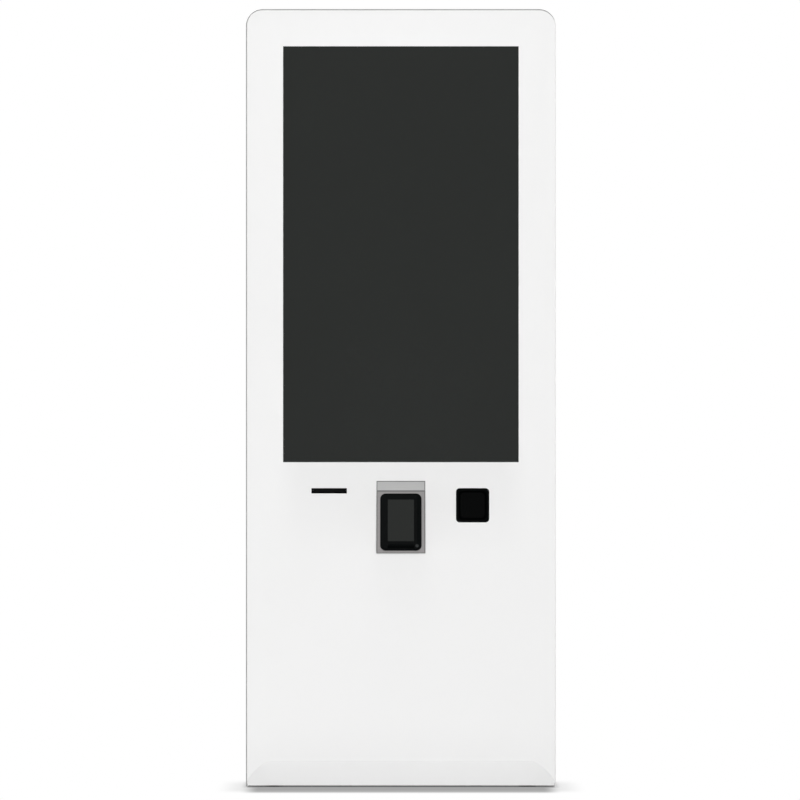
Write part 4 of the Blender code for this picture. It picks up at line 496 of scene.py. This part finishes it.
def smoother():
    """Geometry group that joins a node's loose triangles and shades it smooth, except at sharper folds."""
    group = bpy.data.node_groups.new("smooth_faces", "GeometryNodeTree")
    group.interface.new_socket("Geometry", in_out="INPUT", socket_type="NodeSocketGeometry")
    group.interface.new_socket("Geometry", in_out="OUTPUT", socket_type="NodeSocketGeometry")
    start, end, weld, faces, sharp, angle, folded = (group.nodes.new(kind) for kind in (
        "NodeGroupInput", "NodeGroupOutput", "GeometryNodeMergeByDistance", "GeometryNodeSetShadeSmooth",
        "GeometryNodeSetShadeSmooth", "GeometryNodeInputMeshEdgeAngle", "FunctionNodeCompare"))
    weld.inputs["Distance"].default_value = WELD
    faces.domain = "FACE"
    sharp.domain = "EDGE"
    sharp.inputs["Shade Smooth"].default_value = False
    folded.data_type = "FLOAT"
    folded.operation = "GREATER_THAN"
    folded.inputs[1].default_value = SMOOTH_FOLD
    for source, target in ((start.outputs[0], weld.inputs[0]), (weld.outputs[0], faces.inputs[0]),
                           (faces.outputs[0], sharp.inputs[0]), (angle.outputs[0], folded.inputs[0]),
                           (folded.outputs[0], sharp.inputs["Selection"]),
                           (sharp.outputs[0], end.inputs[0])):
        group.links.new(source, target)
    return group


smooth = smoother()
for subpart in frame["record"]["subparts"]:
    solid = frame["nodes"][subpart["node"]]
    look = special.get(subpart["node"], looks[subpart["material_slot"]])
    solid.material_slots[0].material = look
    solid.modifiers.new("smooth_faces", "NODES").node_group = smooth


# Light: a white room for the eye and for reflections, and plain soft light on the object

AMBIENT = 0.12


def seen(tree):
    """1 for what the camera, a reflection or a glass sees, 0 for what lights the object."""
    path = node(tree, "LightPath")
    return most(tree, *(path.outputs[f"Is {kind} Ray"] for kind in ("Camera", "Glossy", "Transmission")))


world = bpy.data.worlds.new("white_room")
world.use_nodes = True
bpy.context.scene.world = world
room = world.node_tree
room.links.new(mixed(room, seen(room), (AMBIENT, AMBIENT, AMBIENT), (1.0, 1.0, 1.0)),
               room.nodes["Background"].inputs["Color"])


def lamp(name, at, aim, size, power):
    """Square soft box that neither the camera nor a reflection shows."""
    light = bpy.data.lights.new(name, "AREA")
    light.size = size
    light.energy = power
    made = bpy.data.objects.new(name, light)
    made.location = at
    made.rotation_euler = (Vector(aim) - Vector(at)).to_track_quat("-Z", "Y").to_euler()
    made.visible_camera = False
    made.visible_glossy = False
    bpy.context.collection.objects.link(made)


MIDDLE = (0.0, 0.0, 0.9)
lamp("front_softbox", (0.05, -9.0, 0.80), aim=(0.0, 0.0, 0.80), size=0.6, power=535.0)
lamp("upper_softbox", (0.0, -1.3, 2.5), aim=(0.0, 0.0, 2.0), size=0.9, power=2.8)
lamp("left_softbox", (-4.5, 0.5, 2.0), aim=MIDDLE, size=3.0, power=90.0)
lamp("right_softbox", (4.5, 0.5, 2.0), aim=MIDDLE, size=3.0, power=85.0)
lamp("rear_softbox", (-2.2, 4.2, 3.0), aim=MIDDLE, size=2.0, power=122.0)
lamp("top_softbox", (0.3, 0.9, 5.2), aim=(0.0, 0.0, 1.7), size=2.4, power=37.0)


# Floor

FLOOR_HALF = 60.0

# The shadow's core and its halo: where each is full and where it ends, aside and in depth, and its share
CORE_ASIDE, CORE_AHEAD, CORE_SHARE = (0.322, 0.366), (-0.130, -0.208), 0.72
HALO_ASIDE, HALO_AHEAD, HALO_SHARE = (0.355, 0.425), (-0.060, -0.200), 0.28
SHADOW_BEHIND, SHADOW_TONE = (0.10, 0.33), 0.38
CONTACT, CONTACT_TONE = 0.03, 0.25


def pale_floor():
    """Floor that lights the object as a plain grey and shows the eye white, with the object's shadow."""
    made, tree, shader = finish("pale_floor", Base_Color=(0.68, 0.68, 0.68, 1.0), Roughness=0.9,
                                Specular_IOR_Level=0.1)
    across, deep, _ = axes(tree, place(tree))
    aside = unsigned(tree, across)

    def between(depths):
        """1 at the first depth, faded to 0 at the second."""
        return fade(tree, deep, *(back(depth) for depth in depths))

    core = times(tree, fade(tree, aside, *CORE_ASIDE), between(CORE_AHEAD), CORE_SHARE)
    halo = times(tree, fade(tree, aside, *HALO_ASIDE), between(HALO_AHEAD), HALO_SHARE)
    shadow = times(tree, between(SHADOW_BEHIND), plus(tree, core, halo))
    open_sky = node(tree, "AmbientOcclusion", {"samples": 8}, Distance=CONTACT).outputs["AO"]
    tone = times(tree, spread(tree, shadow, 1.0, SHADOW_TONE, start=0.0, end=1.0),
                 spread(tree, open_sky, CONTACT_TONE, 1.0, start=0.1, end=0.7))
    grey = node(tree, "CombineColor", i0=tone, i1=tone, i2=tone).outputs[0]
    glow = node(tree, "Emission", Color=grey).outputs[0]
    either = node(tree, "MixShader", Fac=seen(tree), i1=shader.outputs[0], i2=glow)
    tree.links.new(either.outputs[0], tree.nodes["Material Output"].inputs["Surface"])
    return made


floor_mesh = bpy.data.meshes.new("floor")
floor_mesh.from_pydata([(-FLOOR_HALF, -FLOOR_HALF, 0.0), (FLOOR_HALF, -FLOOR_HALF, 0.0),
                        (FLOOR_HALF, FLOOR_HALF, 0.0), (-FLOOR_HALF, FLOOR_HALF, 0.0)], [], [(0, 1, 2, 3)])
floor_mesh.materials.append(pale_floor())
floor = bpy.data.objects.new("floor", floor_mesh)
bpy.context.collection.objects.link(floor)


# Forms for the added pieces, each a surface worked out on a grid of points

RIGHT, REAR, UP = np.eye(3)


def skin(points, ring=True, caps=False):
    """Quads over rows of points; a ring joins each row's last point to its first, caps close the ends."""
    index = np.arange(points.shape[0] * points.shape[1]).reshape(points.shape[:2])
    after = np.roll(index, -1, axis=1)
    quads = np.stack([index[:-1], after[:-1], after[1:], index[1:]], -1)
    quads = quads if ring else quads[:, :-1]
    return points.reshape(-1, 3), quads.reshape(-1, 4), [index[0, ::-1], index[-1]] if caps else []


def turned(profile, at, axis, sides=28):
    """Turned form. A profile row is a radius, a place along the axis and, where it is six-sided, a 1. The
    point at angle a is at + along * axis + radius * (u cos a + v sin a); six-sided rows use
    radius * cos 30 / cos(a' - 30), where a' is a within its sixth of the turn."""
    radius, along, six = np.array([(*row, 0.0)[:3] for row in profile]).T
    angle = np.arange(sides) * 2 * np.pi / sides
    flats = math.cos(math.pi / 6) / np.cos(angle % (np.pi / 3) - np.pi / 6)
    reach = radius[:, None] * (1.0 + six[:, None] * (flats - 1.0))
    axis = np.array(axis, float) / np.linalg.norm(axis)
    u = np.cross(axis, UP if abs(axis[2]) < 0.9 else RIGHT)
    u /= np.linalg.norm(u)
    round_it = np.cos(angle)[:, None] * u + np.sin(angle)[:, None] * np.cross(axis, u)
    return skin(np.array(at, float) + along[:, None, None] * axis + reach[..., None] * round_it)


def hoop(at, axis, radius, thick, sides=48):
    """Ring of round wire: the profile is a circle of half the wire's thickness at the ring's radius."""
    bend = np.linspace(0.0, 2 * np.pi, 9)
    wire = np.stack([radius + thick / 2 * np.cos(bend), thick / 2 * np.sin(bend)], -1)
    return turned(wire, at, axis, sides)


def bar(start, end, thick):
    """Round bar with flat ends between two points."""
    way = np.array(end, float) - start
    reach = np.linalg.norm(way)
    return turned([(0, 0), (thick / 2, 0), (thick / 2, reach), (0, reach)], start, way, sides=10)


def button_head(at, axis, radius, height):
    """Domed screw head with a six-sided socket, its profile in parts of the radius and the height."""
    return turned([(0, 0.35 * height), (0.42 * radius, 0.35 * height, 1), (0.48 * radius, 0.95 * height, 1),
                   (0.62 * radius, height), (0.80 * radius, 0.87 * height), (0.94 * radius, 0.58 * height),
                   (radius, 0.15 * height), (radius, 0), (0, 0)], at, axis, sides=24)


def hex_nut(at, axis, bore, across, height):
    """Six-sided nut: bore, chamfered faces and flats as one closed profile."""
    wide = across / math.sqrt(3)
    return turned([(bore, 0), (0.86 * wide, 0), (wide, 0.12 * height, 1), (wide, 0.88 * height, 1),
                   (0.86 * wide, height), (bore, height), (bore, 0)], at, axis, sides=36)


def block(at, size, radius, bevel, right=RIGHT, up=UP, steps=4):
    """Moulded block: a round-cornered outline carried out from at, its last rows drawn in along a quarter
    circle. Corner points are the corner's middle plus (radius - inset) * (cos a, sin a)."""
    bend = np.arange(steps + 1) / steps * np.pi / 2
    inset = np.concatenate([[0.0], bevel * (1.0 - np.cos(bend))])
    rise = np.concatenate([[0.0], size[2] - bevel + bevel * np.sin(bend)])
    corner = np.repeat(np.arange(4), steps + 1)
    angle = np.pi / 2 * (corner + np.tile(np.arange(steps + 1) / steps, 4))
    side = np.array([(1, 1), (-1, 1), (-1, -1), (1, -1)])[corner]
    edge = side * (np.array(size[:2]) / 2 - radius) + (radius - inset[:, None, None]) * np.stack(
        [np.cos(angle), np.sin(angle)], -1)
    return skin(np.array(at, float) + edge[..., :1] * right + edge[..., 1:] * up
                + rise[:, None, None] * np.cross(up, right), caps=True)


def louvre(at, width, height, lift, wall=0.001):
    """Pressed vent hood open at its lower edge: across u and down v it stands out by
    lift * sin(90 v) * (1 - u^6), and its inner face comes back one wall lower."""
    u = np.linspace(-1.0, 1.0, 17)
    down = np.linspace(0.0, 1.0, 7)
    v = np.concatenate([down, down[::-1]])[:, None]
    high = np.repeat((lift, lift - wall), len(down))[:, None]
    out = high * np.sin(v * np.pi / 2) * (1.0 - u ** 6)
    spots = np.stack([u * width / 2 + 0.0 * v, out, height * (0.5 - v) + 0.0 * u], -1)
    return skin(np.array(at, float) + spots, ring=False)


RING_SIDE, RING_FACE = np.array((-1.0, 1.0, 1.0, -1.0)), np.array((0.0, 0.0, 1.0, 1.0))


def ribbon(across, depth, height):
    """Closed strip whose rows are rings of four points, from their places across, in depth and in height.
    Along a ring, RING_SIDE goes from edge to edge and RING_FACE from face to face."""
    return skin(np.stack(np.broadcast_arrays(across, back(depth), height), -1), caps=True)


JOIN = 0.000002  # points that lie nearer are one


def piece(name, forms, look, body, fold=35.0):
    """Joins forms into one closed mesh that rides on a body, smooth up to a fold in degrees."""
    starts = np.cumsum([0] + [len(spots) for spots, _, _ in forms])
    quads = np.vstack([sides + start for (_, sides, _), start in zip(forms, starts)]).tolist()
    lids = [(lid + start).tolist() for (_, _, ends), start in zip(forms, starts) for lid in ends]
    mesh = bpy.data.meshes.new(name)
    mesh.from_pydata(np.vstack([spots for spots, _, _ in forms]).tolist(), [], quads + lids)
    shape = bmesh.new()
    shape.from_mesh(mesh)
    bmesh.ops.remove_doubles(shape, verts=shape.verts, dist=JOIN)
    bmesh.ops.recalc_face_normals(shape, faces=shape.faces)
    shape.to_mesh(mesh)
    shape.free()
    mesh.polygons.foreach_set("use_smooth", np.ones(len(mesh.polygons), bool))
    mesh.set_sharp_from_angle(angle=math.radians(fold))
    mesh.materials.append(look)
    made = bpy.data.objects.new(name, mesh)
    bpy.context.collection.objects.link(made)
    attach(made, body)
    return made


def steel_piece(name, forms, body="cabinet", fold=35.0):
    """Piece of bright steel."""
    piece(name, forms, looks["bright_steel"], body, fold=fold)


def screws(name, spots, head, body="cabinet"):
    """Button-head screws that look rearward, of a head's radius and height, at spots of x, depth and z."""
    steel_piece(name, [button_head((x, back(depth), z), REAR, *head) for x, depth, z in spots], body)


# Leads inside the cabinet; the first points of a route are listed, as x, depth and z

COMPUTER_LEFT, COMPUTER_TOP, PLUG_PITCH, PLUG_DEPTH = 0.08235, 0.3353, 0.030, 0.1150
PANEL_TOP, OVER_PANEL, BEHIND_PANEL = 0.5604, 0.030, 0.1287
PLUG_SIZE, PLUG_CORNER, PLUG_BEVEL, PLUG_OVERLAP = (0.017, 0.0115, 0.018), 0.0028, 0.0015, 0.0001
INWARD = np.array((0.0, math.cos(TILT), -math.sin(TILT)))
TERMINAL_BACK, LEAD_STRAIGHT = 0.0443, 0.014
TERMINAL_SOCKET = np.array((0.0, TERMINAL_DEPTH, TERMINAL_Z)) + INWARD * TERMINAL_BACK
TERMINAL_ROUTE = [TERMINAL_SOCKET, TERMINAL_SOCKET + INWARD * LEAD_STRAIGHT]
PRINTER_ROUTE = [(-0.1112, 0.0596, 0.65395), (-0.0972, 0.0596, 0.65395), (-0.0672, 0.0736, 0.63995)]
SCANNER_ROUTE = [(0.1635, 0.0639, 0.6442), (0.1635, 0.0779, 0.6442)]
DISPLAY_ROUTE = [(0.15735, 0.0524, 0.8125), (0.15735, 0.0664, 0.8125), (0.15735, 0.0824, 0.7825)]
PRINTER_LEAD, SIGNAL_LEAD, DISPLAY_LEAD = 0.006, 0.005, 0.008


def lead_down(number):
    """Last points of a route: over the equipment panel's top edge and down into the computer."""
    x = COMPUTER_LEFT + (number + 0.5) * PLUG_PITCH
    drop = PANEL_TOP - COMPUTER_TOP
    return [(x, BEHIND_PANEL, PANEL_TOP + OVER_PANEL), (x, BEHIND_PANEL, COMPUTER_TOP + drop * 0.7),
            (x, PLUG_DEPTH, COMPUTER_TOP + drop * 0.3), (x, PLUG_DEPTH, COMPUTER_TOP)]


def smooth_run(points, steps=10):
    """Straight first and last pieces, and between the inner points a cubic that leaves each point along the
    line between its neighbours: half of (2a + (b-p)t + (2p-5a+4b-n)t^2 + (3a-p-3b+n)t^3)."""
    line = np.array(points, float) + (0.0, FRONT, 0.0)
    p, a, b, n = (line[i:len(line) - 3 + i, None] for i in range(4))
    t = (np.arange(steps) / steps)[None, :, None]
    run = 0.5 * (2 * a + (b - p) * t + (2 * p - 5 * a + 4 * b - n) * t ** 2
                 + (3 * a - p - 3 * b + n) * t ** 3)
    return np.vstack([line[:1], run.reshape(-1, 3), line[-2:]])


def sleeve(diameter, at, axis):
    """Ribbed rubber sleeve where a lead leaves a housing: its ribs thin out along the lead."""
    half = diameter / 2
    return turned([(0, 0), (half + 0.0016, 0), (half + 0.0016, 0.003), (half + 0.0009, 0.0036),
                   (half + 0.0009, 0.005), (half + 0.0012, 0.0056), (half + 0.0012, 0.007),
                   (half + 0.0005, 0.0076), (half + 0.0005, 0.009), (half + 0.0008, 0.0096),
                   (half + 0.0002, 0.0130), (0, 0.0130)], at, axis, sides=20)


def lead(name, points, diameter):
    """Round flexible lead on a smooth run, from a device back into the computer."""
    run = smooth_run(points)
    curve = bpy.data.curves.new(name, "CURVE")
    curve.dimensions = "3D"
    curve.bevel_depth = diameter / 2
    curve.bevel_resolution = 5
    curve.use_fill_caps = True
    line = curve.splines.new("POLY")
    line.points.add(len(run) - 1)
    line.points.foreach_set("co", np.hstack([run, np.ones((len(run), 1))]).ravel())
    line.use_smooth = True
    made = bpy.data.objects.new(name + "_cord", curve)
    bpy.context.collection.objects.link(made)
    curve.materials.append(looks["black_rubber"])
    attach(made, "cabinet")
    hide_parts(name)
    boot = piece(name + "_boot", [sleeve(diameter, run[0], run[1] - run[0])], looks["black_rubber"],
                 "cabinet")
    plug = piece(name + "_plug", [block(run[-1], PLUG_SIZE, PLUG_CORNER, PLUG_BEVEL, RIGHT, -REAR),
                                  sleeve(diameter, run[-1] + (PLUG_SIZE[2] - PLUG_OVERLAP) * UP, UP)],
                 looks["dark_plastic"], "cabinet")


lead("printer_cable", PRINTER_ROUTE + lead_down(0), PRINTER_LEAD)
lead("terminal_cable", TERMINAL_ROUTE + lead_down(1), SIGNAL_LEAD)
lead("scanner_cable", SCANNER_ROUTE + lead_down(3), SIGNAL_LEAD)
lead("display_cable", DISPLAY_ROUTE + lead_down(2), DISPLAY_LEAD)


# Terminal, slot and printer details

LENS_X, LENS_ALONG = 0.0366, -0.0606
TEETH, BAR_HALF, BAR_FOOT = 147, 0.0365, SLOT_Z - 0.0032
BAR_DEPTHS = np.array((0.0016, 0.0018, 0.0020, 0.0022))
TOOTH_LOW, TOOTH_HIGH = SLOT_Z - 0.0025, SLOT_Z - 0.0019
FLAP_HALF, FLAP_DEPTH, FLAP_SWING, FLAP_THICK = 0.0367, 0.0140, 0.0020, 0.0006
FLAP_TOP, FLAP_DROP = SLOT_Z + 0.0025, 0.0042
PAPER_HALF, PAPER_THICK = 0.0395, 0.0001
PAPER_ROUTE = ((0.0450, 0.6757), (0.0620, 0.6722), (0.0800, 0.6683), (0.0980, 0.6647),
               (0.1106, 0.6625), (0.1205, 0.6545), (0.1307, 0.6456))


def on_terminal(x, along):
    """Point on the tilted terminal's front face: across, and up along it."""
    return TERMINAL + (x, -TERMINAL_PROUD * math.cos(TILT) + along * math.sin(TILT),
                       TERMINAL_PROUD * math.sin(TILT) + along * math.cos(TILT))


def tear_bar():
    """Thin blade across the slot: its feet are level, and its two crests are high at every other tooth."""
    tooth = np.arange(TEETH)[:, None]
    crest = np.where(tooth % 2, TOOTH_HIGH, TOOTH_LOW)
    on_crest = np.array((False, True, True, False))
    across = SLOT_X + np.linspace(-BAR_HALF, BAR_HALF, TEETH)[:, None]
    return ribbon(across, BAR_DEPTHS, np.where(on_crest, crest, BAR_FOOT))


def slot_flap():
    """Rubber flap: at t down its height, from 0 to 1, it hangs back by swing * t^2."""
    t = np.linspace(0.0, 1.0, 7)[:, None]
    return ribbon(SLOT_X + RING_SIDE * FLAP_HALF, FLAP_DEPTH + FLAP_SWING * t ** 2 + RING_FACE * FLAP_THICK,
                  FLAP_TOP - FLAP_DROP * t)


def paper_strip():
    """Paper from the cutter down to the roll: each row is a point of its route, carried to both sides."""
    route = np.array(PAPER_ROUTE)
    return ribbon(SLOT_X + RING_SIDE * PAPER_HALF, route[:, :1], route[:, 1:] + RING_FACE * PAPER_THICK)


lens = [(0, 0.0007), (0.0015, 0.00066), (0.0028, 0.0005), (0.0037, 0.0002), (0.0040, -0.0003), (0, -0.0003)]
smoked_lens = moulded("smoked_lens", (0.0360, 0.0380, 0.0380), 0.30, gloss=0.06, grain=500.0, relief=0.02,
                      dust=0.0)
flap_rubber = moulded("flap_rubber", (0.0120, 0.0130, 0.0128), 0.6, gloss=0.02, grain=1100.0, relief=0.1,
                      dust=0.0)
piece("terminal_status_lens", [turned(lens, on_terminal(LENS_X, LENS_ALONG), -INWARD)], smoked_lens,
      "cabinet")
piece("receipt_flap", [slot_flap()], flap_rubber, "cabinet", fold=60.0)
piece("receipt_tear_bar", [tear_bar()], device_black, "cabinet", fold=20.0)
piece("paper_web", [paper_strip()], looks["paper_white"], "cabinet", fold=60.0)


# Rear door and frame details; a screw head is its radius and its height

DOOR_FACE, BODY_BACK = high_corner("rear_door")[1], high_corner("body_wrap")[1]
FAN_X, _, FAN_Z = centre_of("fan_housing_right")
FAN_FRONT, FAN_CORNER = low_corner("fan_housing_right")[1], 0.0525
LOCK_X, _, LOCK_Z = centre_of("lock_pinion")
INTAKE_Z, VENT_PITCH, VENT_SINK, VENT_LIFT = 0.180, 0.0115, 0.0002, 0.0006
LOUVRE_SIZE = (0.103, 0.0086, 0.0038)
FAN_HEAD, FRAME_HEAD = (0.0042, 0.0022), (0.0043, 0.0023)
FRAME_LEVELS, FRAME_COLUMNS = (1.7565, 0.0400), (-0.270, -0.090, 0.090, 0.270)
FRAME_SIDE, FRAME_STEPS = 0.3412, (0.25, 0.575, 0.90, 1.225, 1.55)
HINGE_EDGE, HINGE_PITCH = 0.0044, 0.115
HINGE_X, HINGE_FACE, HINGE_LOW = low_corner("hinge_leaf_frame") + (HINGE_EDGE, SHEET, HINGE_PITCH / 2)
HINGE_TOP = high_corner("hinge_leaf_frame")[2]
GUARD_DEPTH, GUARD_RADII, GUARD_WIRE = FAN_FRONT - 0.0011, (0.019, 0.031, 0.043, 0.055), 0.0016
SPOKE_DEPTH, SPOKE_START, SPOKE_END, SPOKE_WIRE = GUARD_DEPTH - 0.0015, 0.012, 0.0500, 0.0018
EYE_DEPTH, EYE_RADIUS = GUARD_DEPTH - 0.0006, 0.0032

fans = (-FAN_X, FAN_X)
hoods = [louvre((x, back(DOOR_FACE - VENT_SINK), vent + VENT_PITCH * row + VENT_LIFT), *LOUVRE_SIZE)
         for x in fans for vent in (FAN_Z, INTAKE_Z) for row in range(-4, 5)]
piece("door_louvres", hoods, looks["white_powder_coat"], "door")

collar = [(0.0127, 0), (0.0127, 0.0012), (0.0133, 0.0018), (0.0165, 0.0018), (0.0180, 0.0011), (0.0186, 0),
          (0.0127, 0)]
steel_piece("lock_escutcheon", [turned(collar, (LOCK_X, back(DOOR_FACE), LOCK_Z), REAR, sides=48)], "door")

corners = [(x + dx * FAN_CORNER, FAN_Z + dz * FAN_CORNER) for x in fans for dx in (-1, 1) for dz in (-1, 1)]
screws("fan_screws", [(x, DOOR_FACE, z) for x, z in corners], FAN_HEAD, "door")

wires = [hoop((x, back(GUARD_DEPTH), FAN_Z), REAR, radius, GUARD_WIRE)
         for x in fans for radius in GUARD_RADII]
wires += [bar((x + SPOKE_START * dx, back(SPOKE_DEPTH), FAN_Z + SPOKE_START * dz),
              (x + SPOKE_END * dx, back(SPOKE_DEPTH), FAN_Z + SPOKE_END * dz), SPOKE_WIRE)
          for x in fans for dx in (-1, 1) for dz in (-1, 1)]
wires += [hoop((x, back(EYE_DEPTH), z), REAR, EYE_RADIUS, SPOKE_WIRE, sides=20) for x, z in corners]
steel_piece("fan_guards", wires, "door", fold=60.0)

screws("rear_frame_screws", [(x, BODY_BACK, z) for z in FRAME_LEVELS for x in FRAME_COLUMNS]
       + [(FRAME_SIDE, BODY_BACK, z) for z in FRAME_STEPS], FRAME_HEAD)
flush = [(0, 0.0001), (0.0013, 0.0001, 1), (0.0015, 0.0003, 1), (0.0030, 0.0003), (0.0034, 0), (0, -0.0002)]
steel_piece("hinge_screws", [turned(flush, (HINGE_X, back(HINGE_FACE), z), REAR, sides=24)
                             for z in np.arange(HINGE_LOW, HINGE_TOP, HINGE_PITCH)])


# Equipment details behind the door

PLATE_FACE, PLATE_HEAD = low_corner("equipment_plate")[1] + SHEET, (0.0045, 0.0024)
PLATE_COLUMNS, PLATE_LEVELS = (-0.334, 0.334), (0.125, 0.33, 0.535)
BRACKET_X, _, BRACKET_Z = centre_of("display_bracket_right")
BRACKET_FACE, BRACKET_STEPS = low_corner("display_bracket_right")[1] + SHEET, (-0.2, -0.1, 0.1, 0.2)
STRIP_INSET, STRIP_SINK, STALL_PITCH = 0.01635, 0.0002, 0.016
STRIP_X = low_corner("power_supply")[0] + STRIP_INSET
STRIP_DEPTH = high_corner("power_supply")[1] - STRIP_SINK
STRIP_Z = centre_of("power_supply")[2]
STRIP_SIZE, STRIP_CORNER, STRIP_BEVEL = (0.024, 0.092, 0.0065), 0.0012, 0.0006
RIB_SIZE, RIB_CORNER, RIB_BEVEL, RIB_SEAT = (0.024, 0.0020, 0.006), 0.0006, 0.0005, STRIP_DEPTH + 0.006
CLAMP_HEAD, CLAMP_SEAT = (0.0045, 0.0026), STRIP_DEPTH + 0.0064
BREAKER_X, _, BREAKER_Z = centre_of("circuit_breaker")
BREAKER_STEP, BREAKER_ASIDE, BREAKER_ALONG, BREAKER_HEAD = 0.018, 0.009, 0.032, (0.0032, 0.0014)
BREAKER_FACE = high_corner("circuit_breaker")[1] - BREAKER_STEP
NUT_GAP, NUT_BORE, NUT_ACROSS, NUT_HEIGHT = 0.0002, 0.0053, 0.017, 0.006
NUT_Z = high_corner("base_plate")[2] + NUT_GAP

screws("equipment_screws", [(x, PLATE_FACE, z) for x in PLATE_COLUMNS for z in PLATE_LEVELS], PLATE_HEAD)
screws("display_screws", [(x, BRACKET_FACE, BRACKET_Z + step)
                          for x in (-BRACKET_X, BRACKET_X) for step in BRACKET_STEPS], PLATE_HEAD)

stalls = [block((STRIP_X, back(STRIP_DEPTH), STRIP_Z), STRIP_SIZE, STRIP_CORNER, STRIP_BEVEL)]
stalls += [block((STRIP_X, back(RIB_SEAT), STRIP_Z + row * STALL_PITCH), RIB_SIZE, RIB_CORNER, RIB_BEVEL)
           for row in np.arange(-2.5, 3.0)]
piece("supply_terminal_block", stalls, looks["dark_plastic"], "cabinet")
screws("supply_terminal_screws", [(STRIP_X, CLAMP_SEAT, STRIP_Z + row * STALL_PITCH)
                                  for row in range(-2, 3)], CLAMP_HEAD)
screws("breaker_screws", [(BREAKER_X + dx * BREAKER_ASIDE, BREAKER_FACE, BREAKER_Z + dz * BREAKER_ALONG)
                          for dx in (-1, 1) for dz in (-1, 1)], BREAKER_HEAD)
feet = [centre_of(f"levelling_foot_{corner}") for corner in ("fl", "rl", "fr", "rr")]
piece("foot_nuts", [hex_nut((x, back(depth), NUT_Z), UP, NUT_BORE, NUT_ACROSS, NUT_HEIGHT)
                    for x, depth, _ in feet], looks["zinc_steel"], "cabinet")
